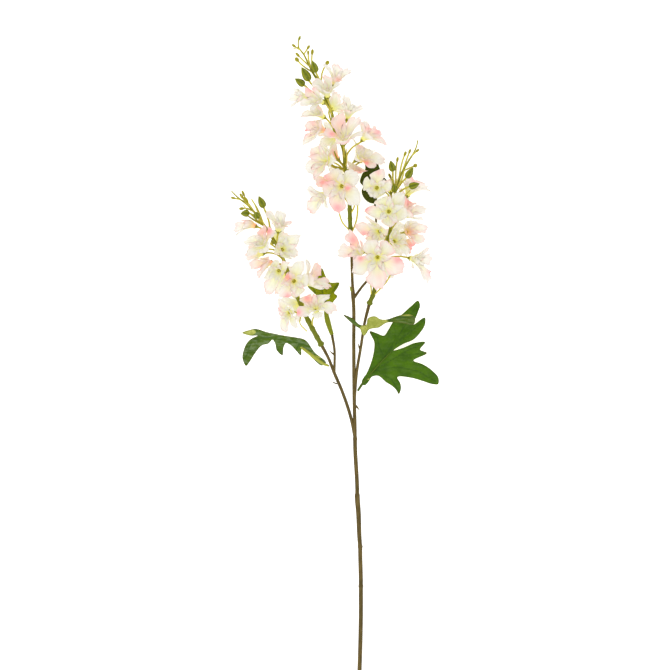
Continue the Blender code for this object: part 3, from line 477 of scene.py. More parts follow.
class Skin:
    """Points and faces of one piece, with what its material reads at each point."""

    def __init__(self):
        self.points = []
        self.faces = []
        self.slots = []
        self.places = []
        self.blushes = []
        self.count = 0

    def add(self, points, places, blushes, faces, slot=0):
        """Points with the faces between them, and a place and a blush for each point."""
        self.points.append(points)
        self.places.append(places)
        self.blushes.append(blushes)
        self.faces += (np.asarray(faces) + self.count).tolist()
        self.slots += [slot] * len(faces)
        self.count += len(points)

    def grid(self, points, places, blush=None, slot=0, wrap=False, flip=False):
        """Faces between the rows and columns of points, the last column joined to the first if wrap."""
        rows, columns = points.shape[:2]
        index = np.arange(rows * columns).reshape(rows, columns)
        if wrap:
            index = np.concatenate([index, index[:, :1]], axis=1)
        quads = np.stack([index[:-1, :-1], index[:-1, 1:], index[1:, 1:], index[1:, :-1]], axis=-1)
        quads = quads.reshape(-1, 4)
        if flip:
            quads = quads[:, ::-1]
        blushes = np.zeros(rows * columns) if blush is None else blush.reshape(-1)
        self.add(points.reshape(-1, 3), places.reshape(-1, 3), blushes, quads, slot)


def piece(name, skin, node, materials, cloth=0.0, underside=0):
    """One object made from a skin, in the place of its node. Cloth is its thickness."""
    mesh = bpy.data.meshes.new(name)
    mesh.from_pydata((np.concatenate(skin.points) * MM).tolist(), [], skin.faces)
    place = mesh.attributes.new("place", "FLOAT_VECTOR", "POINT")
    place.data.foreach_set("vector", np.concatenate(skin.places).astype(np.float32).ravel())
    blush = mesh.attributes.new("blush", "FLOAT", "POINT")
    blush.data.foreach_set("value", np.concatenate(skin.blushes).astype(np.float32))
    for material in materials:
        mesh.materials.append(material)
    mesh.polygons.foreach_set("material_index", skin.slots)
    mesh.shade_smooth()
    obj = placed(name, mesh)
    if cloth:
        shell = obj.modifiers.new("Cloth", "SOLIDIFY")
        shell.thickness = cloth * MM
        shell.offset = 0
        shell.material_offset = underside
    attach(obj, "root")
    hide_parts(node)


# Routes and tubes


def smooth_route(points, values, step):
    """A smooth curve through the points, sampled about a step apart, with a value at each sample."""
    points = np.asarray(points, float)
    values = np.asarray(values, float)
    at = distances(points)
    slope = np.gradient(points, at, axis=0)
    samples = []
    for index, length in enumerate(np.diff(at)):
        count = max(1, round(length / step))
        share = np.arange(count)[:, None] / count
        first = 2 * share ** 3 - 3 * share ** 2 + 1
        curve = (
            first * points[index] + (1 - first) * points[index + 1]
            + (share ** 3 - 2 * share ** 2 + share) * length * slope[index]
            + (share ** 3 - share ** 2) * length * slope[index + 1]
        )
        along = np.interp(at[index] + share[:, 0] * length, at, values)
        samples.append(np.column_stack([curve, along]))
    samples.append(np.append(points[-1], values[-1])[None])
    samples = np.concatenate(samples)
    return samples[:, :-1], samples[:, -1]


def rings(points, radii, sides, ribs=0, depth=0.0):
    """Rings of points round a route, kept from twisting, and where each lies on the tube."""
    tangents = np.gradient(points, axis=0)
    tangents /= norm(tangents, axis=1)[:, None]
    side = np.cross(tangents[0], (0, 0, 1) if abs(tangents[0][2]) < 0.9 else (1, 0, 0))
    around = 2 * np.pi * np.arange(sides) / sides
    shape = 1 + depth * np.cos(ribs * around)
    found = []
    for tangent, point, radius in zip(tangents, points, radii):
        side = unit(side - side.dot(tangent) * tangent)
        up = np.cross(tangent, side)
        spokes = np.cos(around)[:, None] * side + np.sin(around)[:, None] * up
        found.append(point + radius * shape[:, None] * spokes)
    places = np.zeros((len(points), sides, 3))
    places[..., 0] = around / (2 * np.pi)
    places[..., 1] = distances(points)[:, None]
    places[..., 2] = np.asarray(radii)[:, None]
    return np.array(found), places


def tube(skin, points, radii, sides, step=4.0, slot=0):
    """A smooth closed tube along a route, rounded off at both ends."""
    points, radii = smooth_route(points, radii, step)
    first, last = unit(points[0] - points[1]), unit(points[-1] - points[-2])
    points = np.concatenate([
        [points[0] + 0.5 * radii[0] * first, points[0] + 0.35 * radii[0] * first], points,
        [points[-1] + 0.35 * radii[-1] * last, points[-1] + 0.5 * radii[-1] * last],
    ])
    radii = np.concatenate([[0.02, 0.7 * radii[0]], radii, [0.7 * radii[-1], 0.02]])
    skin.grid(*rings(points, radii, sides), slot=slot, wrap=True)


# Florets


def lifted(point):
    return np.array([point[0], point[1], point[2] + SPIKE_HEIGHT], float)


def facing_of(azimuth, elevation):
    up = math.radians(elevation)
    return math.cos(up) * spoke(math.radians(azimuth)) + (0, 0, math.sin(up))


class Floret:
    """One open flower: where it sits, which way it faces, and the shape of its petals."""

    def __init__(
        self, name, base, azimuth, elevation, length, opening,
        heading=None, wide=1, lengths=(1,) * OUTER_PETALS,
    ):
        self.name = name
        self.base = lifted(base)
        self.facing = facing_of(azimuth, elevation)
        self.length = length
        self.opening = math.radians(opening)
        self.centre = self.base + self.facing * length * (0.12 + 0.42 * math.cos(self.opening))
        self.reach = 0.8 * length
        self.heading = heading
        self.wide = wide
        self.lengths = lengths
        self.hidden = elevation < 0
        self.frame = np.array(Vector(self.facing).to_track_quat("Z", "Y").to_matrix())

    def turned(self, angle):
        return self.frame @ np.array(Matrix.Rotation(angle, 3, "Z"))

    def petal(self, kind, index, draw, long=1, wide=1):
        """One petal of a kind, its measures drawn and then scaled to this floret."""
        petal = {
            key: draw.uniform(*value) if isinstance(value, tuple) else value
            for key, value in kind.items()
        }
        petal["turn"] = (index + petal["turn"]) * PETAL_STEP
        petal["length"] = self.length * petal["length"] * long
        petal["width"] = self.length * petal["width"] * wide
        petal["low"] = self.opening * petal["low"]
        petal["high"] = self.opening * petal["high"] + math.radians(petal["more"])
        return petal

    def petals(self):
        """Outer petals, which spread, and narrower inner ones, which stand in the gaps between."""
        draw = random.Random(self.name)
        for index in range(OUTER_PETALS):
            yield self.petal(OUTER_KIND, index, draw, self.lengths[index], self.wide)
            yield self.petal(INNER_KIND, index, draw)


def petal_width(petal, share):
    """Half the petal's width: it widens from a narrow claw, then narrows a little to its cut edge."""
    claw = RING_RADIUS * petal["root"]
    widening = np.sin(np.pi / 2 * np.clip(share / WIDEST_AT, 0, 1)) ** 1.3
    narrowing = 1 - petal["taper"] * np.clip((share - WIDEST_AT) / (1 - WIDEST_AT), 0, 1) ** 2
    return np.where(
        share < WIDEST_AT, claw + (petal["width"] - claw) * widening, petal["width"] * narrowing,
    )


def petal_points(petal, across, share, waves=0.0, phase=0.0):
    """Points of the petal's middle surface in the floret's own frame, Z being its mouth's axis."""
    teeth = np.sin(phase + petal["teeth"] * across) ** 2 + 0.35 * np.sin(2.3 * phase + 17 * across)
    cut = 1 - petal["round"] * np.abs(across) ** 2.2 - (waves > 0) * petal["notch"] * teeth
    along = share * cut
    bend = petal["high"] - petal["low"]
    scale = petal["length"] / bend
    now = petal["low"] + bend * along
    out = RING_RADIUS + scale * (math.cos(petal["low"]) - np.cos(now))
    up = scale * (np.sin(now) - math.sin(petal["low"]))
    half = np.minimum(petal_width(petal, share) / out, MOST_HALF_ANGLE)
    turn = petal["turn"] + half * across + petal["lean"] * along
    up = up + petal["length"] * along * (petal["cup"] * across ** 2 + petal["ruffle"] * across)
    edge = smooth(share, 0.35, 1.0) * (0.35 + np.abs(across) ** 1.5)
    ripple = np.sin(phase + 6.5 * across + 5 * share) + 0.6 * np.sin(2 * phase + 11 * across)
    up = up + waves * edge * ripple
    turn = turn + 0.05 * edge * np.sin(3 * phase + 9 * share) * (waves > 0)
    return np.stack([out * np.cos(turn), out * np.sin(turn), up], axis=-1)


def walls_between(floret, others, buds, axis):
    """Planes that the floret's petals stay behind, as (point, normal away from the floret)."""
    walls = [(np.array([0, 0, TABLE_CLEARANCE]), np.array([0.0, 0, -1]))]
    margin = PETAL_THICKNESS / 2 + GAP / 2 + 0.1
    for other in others:
        apart = other.centre - floret.centre
        gap = norm(apart)
        if other is floret or gap > floret.reach + other.reach + FLORET_NEARBY:
            continue
        share = 0.5 + (floret.reach ** 2 - other.reach ** 2) / (2 * gap ** 2)
        share = min(max(share, 0.36), 0.64)
        normal = unit(apart * (1, 1, LAYERING))
        walls.append((floret.centre + share * apart - margin * normal, normal))
    for centre, radius in buds:
        apart = centre - floret.centre
        gap = norm(apart)
        if gap < floret.reach + radius + BUD_NEARBY:
            walls.append((centre - (radius + 1.5) * apart / gap, apart / gap))
    for (start, radius), (end, _) in zip(axis, axis[1:]):
        length = norm(end - start)
        run = (end - start) / length
        along = (floret.centre - start) @ run
        if -AXIS_NEARBY < along < length + AXIS_NEARBY:
            nearest = start + along * run
            normal = unit(nearest - floret.centre)
            walls.append((nearest - (radius + margin + 0.4) * normal, normal))
    return walls


def held_back(points, walls, facing, share):
    """Points eased back behind every wall, a petal curling towards the mouth meanwhile."""
    ease = 4.0
    curl = 0.3
    most_curled = 12
    moved = points.copy()
    for _ in range(2):
        for where, normal in walls:
            past = (moved - where) @ normal
            kept = -ease * np.exp(-(past + ease) / ease)
            push = np.where(past > -ease, past - kept, 0)[..., None]
            moved -= push * normal
            moved += curl * np.minimum(push, most_curled) * (facing - facing @ normal * normal)
    for _ in range(6):
        for where, normal in walls:
            past = np.maximum((moved - where) @ normal, 0)[..., None]
            moved -= past * normal
    return points + share[..., None] * (moved - points)


def roomiest_frame(floret, petals, walls):
    """The floret's frame, turned so that its first petal points to its heading, if it has one,
    or else to where its petals are bent the least."""
    def bending(angle):
        tips = np.array([petal_points(petal, 0.0, 0.9) for petal in petals[::2]])
        tips = floret.base + tips @ floret.turned(angle).T
        bent = held_back(tips, walls, floret.facing, np.ones(len(tips)))
        return norm(bent - tips, axis=1).sum()

    def straying(angle):
        tip = floret.turned(angle) @ petal_points(petals[0], 0.0, 0.9)
        return -math.cos(math.atan2(tip[1], tip[0]) - math.radians(floret.heading))

    if floret.heading is not None:
        return floret.turned(min((math.radians(5 * index) for index in range(72)), key=straying))
    step = PETAL_STEP / TURNS_TRIED
    return floret.turned(min((index * step for index in range(TURNS_TRIED)), key=bending))


def blush_at(floret, points):
    total = np.zeros(points.shape[:-1])
    for name, centre, radius, strength in BLUSHES:
        if name == floret.name:
            away = norm(points[..., :2] - centre, axis=-1) / radius
            total += strength * (0.32 * np.exp(-(1.1 * away) ** 2) + 0.6 * np.exp(-(2.4 * away) ** 2))
    return np.clip(total, 0, 1)


def add_petal(skin, floret, petal, frame, walls, draw, size):
    rows, columns = size
    along, across = np.meshgrid(np.linspace(0, 1, rows), np.linspace(-1, 1, columns), indexing="ij")
    phase = draw.uniform(0, 6)
    petal = {**petal, "length": petal["length"] * FRAY, "width": petal["width"] * FRAY}
    local = petal_points(petal, across, along, RIPPLE * petal["length"], phase)
    points = floret.base + local @ frame.T
    points = held_back(points, walls, floret.facing, smooth(along, 0, 0.3))
    places = np.stack([across, along, np.full_like(along, draw.random())], axis=-1)
    skin.grid(points, places, blush_at(floret, points))


def add_heart(skin, floret, frame, draw):
    """The green knob in the floret's middle, and a few thin stamens round it."""
    for index in range(KNOBS):
        lean = spoke(2 * math.pi / KNOBS * index + 0.6) * 0.8
        local = np.array([lean, lean * 1.5 + (0, 0, 1.6), lean * 1.1 + (0, 0, 3.0)])
        tube(skin, floret.base + local @ frame.T, [1.0, 1.15, 0.5], 6, 1.0, slot=KNOB)
    for index in range(STAMENS):
        out = spoke(draw.uniform(0, 2 * math.pi))
        reach = draw.uniform(0.2, 0.34) * floret.length
        spread = draw.uniform(0.2, 0.6)
        local = np.array([1.2 * out, 1.4 * out + (0, 0, 3), spread * reach * out + (0, 0, reach)])
        tube(skin, floret.base + local @ frame.T, [0.28, 0.24, 0.22], 4, 2.5, slot=FILAMENT)


def add_floret(floret, walls, materials):
    """Its petals, with a crown of small ones inside if it is in sight, and its heart."""
    skin = Skin()
    draw = random.Random("cloth " + floret.name)
    petals = list(floret.petals())
    frame = roomiest_frame(floret, petals, walls)
    for index, petal in enumerate(petals):
        add_petal(skin, floret, petal, frame, walls, draw, INNER_GRID if index % 2 else OUTER_GRID)
    if not floret.hidden:
        for index in range(OUTER_PETALS):
            petal = floret.petal(CROWN_KIND, index, draw)
            add_petal(skin, floret, petal, frame, walls, draw, CROWN_GRID)
    hearts = Skin()
    add_heart(hearts, floret, frame, draw)
    node = "floret_" + floret.name
    piece("petals_" + floret.name, skin, node, materials[:1], CLOTH)
    piece("heart_" + floret.name, hearts, node, materials)


# Stalks and buds


def point_on_axis(axis, near, back):
    """The point of the axis a way back from where it passes nearest to the given point."""
    best = None
    run = 0.0
    for (start, _), (end, _) in zip(axis, axis[1:]):
        line = end - start
        share = min(max((near - start) @ line / (line @ line), 0), 1)
        gap = norm(start + share * line - near)
        if best is None or gap < best[0]:
            best = (gap, run + share * norm(line))
        run += norm(line)
    target = max(best[1] - back, 2.0)
    for (start, _), (end, _) in zip(axis, axis[1:]):
        length = norm(end - start)
        if target <= length:
            return start + (end - start) * target / length, (end - start) / length
        target -= length
    return axis[-1][0], np.array([0.0, 1, 0])


def add_pedicel(skin, floret, axis):
    """The floret's own stalk, its cup, and the five small green sepals behind the petals."""
    seat = floret.base - floret.facing * (PETAL_THICKNESS / 2 + GAP)
    neck = seat - floret.facing * CUP_LENGTH
    root, along = point_on_axis(axis, floret.base, PEDICEL_LEAD)
    pull = root + along * 0.6 * norm(neck - root)
    share = np.linspace(0, 1, 7)[:, None]
    arc = root * (1 - share) ** 2 + pull * 2 * share * (1 - share) + neck * share ** 2
    points = np.concatenate([arc, [neck + 0.6 * (seat - neck), seat]])
    radii = np.concatenate([np.linspace(1.3, 1.1, 6), [1.25, 1.9, 2.7]]) * PEDICEL_RADIUS
    tube(skin, points, radii, 8, 3.0, slot=PALE_STALK)
    rise = np.array([0, 0, 1.0])
    lean = 0.35 * floret.opening + 0.25
    for index in range(SEPALS):
        turn = 2 * math.pi * index / SEPALS + 0.3
        out = spoke(turn)
        line = np.array([
            2.0 * out - 2.6 * rise,
            2.9 * out - 0.9 * rise,
            (3.1 + 3.4 * math.sin(lean)) * out + (3.4 * math.cos(lean) - 1.2) * rise,
        ])
        spine, width = smooth_route(line, [0.9, 1.5, 0.1], 1.2)
        side = np.array([-math.sin(turn), math.cos(turn), 0])
        across = np.linspace(-1, 1, 5)
        blade = spine[:, None] + width[:, None, None] * across[None, :, None] * side
        blade = blade + (0.35 * across ** 2)[None, :, None] * (rise - out)
        points = floret.base + blade @ floret.frame.T
        places = np.zeros_like(points)
        places[..., 1] = 40  # a little less dark than a stalk's root
        skin.grid(points, places)
        skin.grid(points + SEPAL_THICKNESS * (floret.frame @ (-out)), places, flip=True)


def rooted(route, axis):
    """The route lifted to the spike's height, with its first point set on the axis."""
    points = [lifted(point) for point in route]
    points[0] = point_on_axis(axis, points[0], 0)[0]
    return points


def add_bud(skin, axis, stalk, tip, radius):
    """A bud on its own stalk: a dark pointed one, or a small round bead."""
    stalk = rooted(stalk, axis)
    body = lifted(tip) - stalk[-1]
    big = radius > BEAD_RADIUS
    thick = [1.3 if big else 1.12] * (len(stalk) + 1)
    tube(skin, stalk + [stalk[-1] + 0.1 * body], thick, 8, slot=PALE_STALK)
    share = np.linspace(0, 1, 15)
    if big:
        swell = radius * np.interp(share, BUD_AT, BUD_SWELL)
        form = rings(stalk[-1] + share[:, None] * body, swell, 20, BUD_RIBS, 0.07)
    else:
        swell = radius * (np.sqrt(np.clip(1 - (2 * share - 1) ** 2, 0, 1)) * 0.98 + 0.02)
        form = rings(stalk[-1] + (0.1 + 0.9 * share)[:, None] * body, swell, 12)
    skin.grid(*form, slot=BUD if big else BEAD, wrap=True)


def add_spike(side, axis_rows, floret_rows, bud_rows, stalk_rows, materials):
    """One spike's green piece. Returns its axis, its florets, and where its dark buds are."""
    axis = [(lifted(row[:3]), RACHIS_RADIUS * row[3]) for row in axis_rows]
    florets = [Floret(*row) for row in floret_rows]
    skin = Skin()
    route, radii = smooth_route([point for point, _ in axis], [radius for _, radius in axis], 2.0)
    run = distances(route)
    knobs = sum(height * np.exp(-((run - place) / 1.7) ** 2) for place, height in SLEEVE_KNOBS)
    tube(skin, route, radii * (1 + knobs + 0.12 * np.exp(-run / 40)), 14, 2.0)
    for row in bud_rows:
        add_bud(skin, axis, *row)
    for route, radius in stalk_rows:
        tube(skin, rooted(route, axis), [1.15 * radius] * len(route), 8, slot=PALE_STALK)
    for route, radius in SMALL_STALKS[side]:
        radii = [radius] * (len(route) - 1) + [0.6 * radius]
        slot = PALE_STALK if radius < THIN_STALK else BEAD
        tube(skin, rooted(route, axis), radii, 8, 3.0, slot)
    for floret in florets:
        add_pedicel(skin, floret, axis)
    piece("green_" + side, skin, "stalks_" + side, materials)
    buds = [
        (lifted(stalk[-1]) * (1 - share) + lifted(tip) * share, radius)
        for stalk, tip, radius in bud_rows if radius > BEAD_RADIUS
        for share in (0.2, 0.55)
    ]
    return axis, florets, buds


# Brown stems


def add_stem(materials):
    skin = Skin()
    branches = [(STEM_ROUTE, 20), (LEFT_BRANCH, 16), (TWIG, 14), (RIGHT_BRANCH, 14), (BACK_BRANCH, 14)]
    for route, sides in branches:
        tube(skin, [point for point, _ in route], [radius for _, radius in route], sides, 3.0)
    skin.points[0][:, 2] = np.maximum(skin.points[0][:, 2], 0.05)
    for root, tip, radius in BRACTS:
        middle = np.array(root) + 0.4 * (np.array(tip) - root)
        slot = BRACT if radius > THICK_BRACT else 0
        tube(skin, [root, middle, tip], [radius, radius, 0.2], 8, 1.5, slot)
    piece("stem_bark", skin, "stem", materials)


# Leaves


def inside(spots, outline):
    """Which spots lie inside an outline."""
    crossings = np.zeros(len(spots), bool)
    for a, b in zip(outline, np.roll(outline, -1, axis=0)):
        spans = (a[1] > spots[:, 1]) != (b[1] > spots[:, 1])
        rise = b[1] - a[1] if b[1] != a[1] else 1.0
        crossings ^= spans & (spots[:, 0] < a[0] + (spots[:, 1] - a[1]) / rise * (b[0] - a[0]))
    return crossings


def distance_to(spots, line):
    """How far each spot lies from a line of points."""
    best = np.full(len(spots), np.inf)
    for a, b in zip(line[:-1], line[1:]):
        run = b - a
        share = np.clip((spots - a) @ run / (run @ run), 0, 1)
        best = np.minimum(best, norm(a + share[:, None] * run - spots, axis=1))
    return best


def smooth_outline(outline, step=2.0):
    """The outline with its corners rounded, as cloth is cut."""
    points = np.array(outline, float)
    closed = np.concatenate([points[-2:], points, points[:3]])
    line, _ = smooth_route(closed, np.zeros(len(closed)), step)
    start, end = np.flatnonzero(np.isclose(line, points[0]).all(axis=1))
    return line[start:end]


def front_leaf_height(x, y):
    away = np.hypot(x - 36, y + 38)
    turn = np.arctan2(y + 38, x - 36)
    return 26.5 - 0.13 * away + 0.025 * away * np.sin(5 * turn)


def left_leaf_height(x, y):
    ridge = 23.5 - 0.116 * np.minimum(x + 43, 0) - 1.07 * np.maximum(x + 43, 0)
    return 27.5 - 0.42 * (ridge - y)


def right_leaf_height(x, y):
    return 34.4 + 0.12 * np.abs(x - 39) - 0.1 * (y - 36)


def upper_leaf_height(x, y):
    return 13 - 0.05 * (y - 50) + 0.1 * np.abs(x + 14)


def back_leaf_height(x, y):
    return 4.5 + 0.05 * np.abs(x - 52) - 0.01 * (y - 210)


# Each leaf: its outline, its veins, its height over the table and its stalk, then the colours of
# its upper face, how much painted sheen streaks that face, and the colours of its stalk
LEAVES = [
    ("front", FRONT_LEAF, FRONT_VEINS, front_leaf_height, [
        ((31, -46, 27), 1.6), ((35, -39.5, 26.5), 1.7), ((46, -26, 24.3), 1.3),
        ((60, -10, 21.2), 1.1), ((76, 6, 17.9), 0.6),
    ], [(74, 112, 2), (56, 92, 1)], 0.08, [(76, 104, 10), (70, 92, 8), (90, 84, 20)]),
    ("left", LEFT_LEAF, LEFT_VEINS, left_leaf_height, [
        ((-8.4, -12.8, 27.9), 1.4), ((-14, -10.5, 28), 2.0), ((-29, 0, 25.5), 2.4),
        ((-42, 9.8, 23.6), 2.0), ((-48, 14, 21.5), 1.0),
    ], [(82, 108, 16), (62, 88, 8)], 0.55, [(180, 178, 74), (160, 164, 60), (134, 122, 40)]),
    ("right", RIGHT_LEAF, RIGHT_VEINS, right_leaf_height, [
        ((40.3, 30, 33.6), 1.1), ((41, 35, 34.6), 1.3), ((44, 41, 34.6), 0.8),
    ], [(88, 110, 24), (70, 90, 16)], 0.35, [(180, 182, 84), (150, 156, 60), (120, 116, 40)]),
    # The upper leaf's face is painted lighter than its cloth, to offset the shade that the florets
    # above cast on it
    ("upper", UPPER_LEAF, UPPER_VEINS, upper_leaf_height, [
        ((-4.2, 29.6, 15.8), 2.6), ((-7, 38, 14.5), 3.2), ((-10, 48, 13.5), 3.8),
        ((-12, 58, 13), 3.0), ((-14, 74, 12), 0.8),
    ], [(146, 156, 4), (126, 138, 2)], 0.0, [(140, 146, 30), (122, 132, 16), (112, 100, 20)]),
    ("back", BACK_LEAF, BACK_VEINS, back_leaf_height, [
        ((55, 196.4, 5), 1.4), ((54, 206, 4.8), 1.4), ((52.5, 222, 4.5), 0.8),
    ], [(66, 76, 2), (52, 62, 1)], 0.0, [(66, 76, 4), (60, 68, 4), (70, 60, 10)]),
]


def add_leaf(name, outline, veins, height, petiole, materials):
    """A blade with its veins pressed in, a waved edge and its stalk."""
    edge = smooth_outline(outline)
    low, high = edge.min(axis=0), edge.max(axis=0)
    columns, rows = np.meshgrid(
        np.arange(low[0], high[0], VEIN_SPACING), np.arange(low[1], high[1], VEIN_SPACING * 0.87),
    )
    columns = columns + 0.5 * VEIN_SPACING * (np.arange(len(columns)) % 2)[:, None]
    spots = np.column_stack([columns.ravel(), rows.ravel()])
    spots = spots[inside(spots, edge)]
    border = np.concatenate([edge, edge[:1]])
    spots = spots[distance_to(spots, border) > 0.5 * VEIN_SPACING]
    flat = [Vector(spot) for spot in np.concatenate([edge, spots])]
    count = len(edge)
    loops = [(index, (index + 1) % count) for index in range(count)]
    found, _, faces, _, _, _ = delaunay_2d_cdt(flat, loops, [list(range(count))], 1, 1e-5)
    found = np.array([tuple(spot) for spot in found])
    to_vein = np.min([distance_to(found, np.array(vein, float)) for vein in veins], axis=0)
    to_edge = distance_to(found, border)
    up = height(found[:, 0], found[:, 1])
    up = up - 0.9 * np.exp(-(to_vein / 1.6) ** 2) + 0.7 * smooth(to_vein, 2, 9)
    up = up + 0.5 * np.sin(0.31 * found[:, 0] + 0.23 * found[:, 1]) * np.exp(-to_edge / 4)
    skin = Skin()
    points = np.column_stack([found, up])
    places = np.column_stack([to_vein, to_edge, np.zeros(len(found))])
    pale = np.zeros(len(found))
    for leaf_name, centre, reach in PALE_PATCHES:
        if leaf_name == name:
            pale = np.maximum(pale, 1 - norm((found - centre) / reach, axis=1) / 2)
    skin.add(points, places, pale, faces)
    piece("leaf_cloth_" + name, skin, "leaf_" + name, materials[:2], LEAF_CLOTH, 1)
    stalk = Skin()
    tube(stalk, [point for point, _ in petiole], [radius for _, radius in petiole], 12, 2.5)
    piece("leaf_stalk_" + name, stalk, "leaf_" + name, materials[2:])


# Materials


class Paint:
    """A node material, with short calls for the nodes that the looks here are made of."""

    def __init__(self, name, roughness, specular=0.25, sheen=0.0):
        self.material = bpy.data.materials.new(name)
        self.material.use_nodes = True
        self.tree = self.material.node_tree
        self.shader = self.tree.nodes["Principled BSDF"]
        surface = {"Roughness": roughness, "Specular IOR Level": specular, "Sheen Weight": sheen}
        self.feed(self.shader.inputs, surface)
        self.painted = None

    def feed(self, sockets, values):
        """Link or set each socket that is named."""
        for name, value in values.items():
            if isinstance(value, bpy.types.NodeSocket):
                self.tree.links.new(value, sockets[name])
            else:
                sockets[name].default_value = value

    def node(self, kind, inputs, **settings):
        """The outputs of a new node, given its inputs by name or number."""
        made = self.tree.nodes.new("ShaderNode" + kind)
        for name, value in settings.items():
            setattr(made, name, value)
        self.feed(made.inputs, inputs)
        return made.outputs

    def attribute(self, name):
        return self.node("Attribute", {}, attribute_name=name)

    def parts(self):
        """The three numbers of each point's place."""
        return self.node("SeparateXYZ", {0: self.attribute("place")["Vector"]})

    def math(self, operation, *values):
        return self.node("Math", dict(enumerate(values)), operation=operation)["Value"]

    def ramp(self, value, low, high, start=0.0, end=1.0):
        inputs = {"Value": value, "From Min": low, "From Max": high, "To Min": start, "To Max": end}
        return self.node("MapRange", inputs, interpolation_type="SMOOTHSTEP")["Result"]

    def mix(self, share, first, second, blend="MIX"):
        """Two colours mixed, each a socket or screen values."""
        first, second = (srgb(one) if isinstance(one, tuple) else one for one in (first, second))
        inputs = {"Factor": share, 6: first, 7: second}
        return self.node("Mix", inputs, data_type="RGBA", blend_type=blend)[2]

    def coat(self, share, colour, blend="MIX"):
        """A share of the colour over what is painted so far."""
        self.painted = self.mix(share, self.painted, colour, blend)

    def noise(self, vector, scale, detail):
        return self.node("TexNoise", {"Vector": vector, "Scale": scale, "Detail": detail})["Fac"]

    def stretched(self, vector, scale):
        return self.node("Mapping", {"Vector": vector, "Scale": scale})["Vector"]

    def solid(self):
        return self.node("TexCoord", {})["Object"]

    def finished(self, height, distance, strength):
        """The material with its colour and its relief."""
        inputs = {"Height": height, "Distance": distance, "Strength": strength}
        normal = self.node("Bump", inputs)["Normal"]
        self.feed(self.shader.inputs, {"Normal": normal, "Base Color": self.painted})
        return self.material


def petal_paint():
    """Thin cloth that lets light through: yellow at the heart, then cream and white, with pink, and a
    painted warm glow that lightens its shade.
    """
    paint = Paint("petal_cloth_look", 0.75, sheen=0.15)
    across, along, chance = paint.parts()
    cloth = paint.solid()
    mottle = paint.noise(cloth, 90.0, 3.0)
    fan = paint.noise(paint.stretched(paint.attribute("place")["Vector"], (9.0, 1.2, 40.0)), 1.0, 3.0)
    reach = paint.math("ADD", along, paint.math("MULTIPLY", paint.math("SUBTRACT", mottle, 0.5), 0.3))
    side = paint.math("POWER", paint.math("ABSOLUTE", across), 3.0)
    flank = paint.math("MULTIPLY", side, paint.ramp(along, 0.3, 0.7))
    border = paint.math("MAXIMUM", paint.ramp(reach, 0.7, 1.0), flank)
    tinted = paint.math("MULTIPLY", border, paint.ramp(chance, 0.3, 1.0, 0.05, 0.75))
    uneven = paint.ramp(mottle, 0.2, 0.7, 0.65, 1.0)
    blush = paint.math("MULTIPLY", paint.attribute("blush")["Fac"], uneven)
    yellow, cream, white = (232, 231, 150), (229, 230, 210), (231, 231, 231)
    rim, pink, shade = (239, 213, 215), (247, 173, 182), (240, 226, 196)
    paint.painted = yellow
    paint.coat(paint.ramp(reach, 0.0, 0.4), cream)
    paint.coat(paint.ramp(reach, 0.3, 0.8), white)
    paint.coat(tinted, rim)
    paint.coat(blush, pink)
    paint.coat(paint.ramp(fan, 0.35, 0.65, 0.0, 0.1), shade, "MULTIPLY")
    weave = paint.noise(cloth, 2600.0, 1.0)
    relief = paint.math("ADD", paint.math("MULTIPLY", fan, 0.8), paint.math("MULTIPLY", weave, 0.15))
    # Painted glow: the petals give off a warm light of their own, strongest at the heart, to lighten
    # the shade between and inside the florets
    painted_glow_colour = paint.mix(1.0, paint.painted, (255, 250, 218), "MULTIPLY")
    light = paint.ramp(along, 0.0, 0.55, 0.62, 0.38)
    paint.feed(paint.shader.inputs, {"Emission Color": painted_glow_colour, "Emission Strength": light})
    glow = paint.node("BsdfTranslucent", {"Color": paint.painted})["BSDF"]
    both = paint.node("MixShader", {"Fac": 0.55, 1: paint.shader.outputs["BSDF"], 2: glow})["Shader"]
    paint.feed(paint.tree.nodes["Material Output"].inputs, {"Surface": both})
    return paint.finished(relief, 0.0006, 0.5)


def stalk_paint(name, pale, deep, brown, root=0.0):
    """Moulded green plastic: paler along thin stalks, streaked, browned and darker at its root."""
    paint = Paint(name, 0.5)
    _, run, radius = paint.parts()
    cloth = paint.solid()
    streaks = paint.noise(paint.stretched(cloth, (1.0, 0.25, 1.0)), 420.0, 3.0)
    patches = paint.noise(cloth, 60.0, 2.0)
    paint.painted = pale
    paint.coat(paint.ramp(radius, 0.8, 1.9), deep)
    paint.coat(paint.ramp(streaks, 0.45, 0.75, 0.0, 0.35), brown)
    paint.coat(paint.ramp(patches, 0.5, 0.7, 0.0, 0.3), pale)
    paint.coat(paint.ramp(run, 10.0, 110.0, root, 0.0), (92, 104, 8))
    return paint.finished(streaks, 0.0007, 0.7)


def bark_paint():
    paint = Paint("stem_bark_look", 0.62)
    cloth = paint.solid()
    grain = paint.noise(paint.stretched(cloth, (1.0, 0.12, 1.0)), 700.0, 4.0)
    patches = paint.noise(cloth, 45.0, 3.0)
    paint.painted = (78, 62, 22)
    paint.coat(paint.ramp(grain, 0.3, 0.7), (112, 94, 46))
    paint.coat(paint.ramp(patches, 0.4, 0.7, 0.0, 0.6), (70, 60, 18))
    return paint.finished(grain, 0.0007, 0.6)


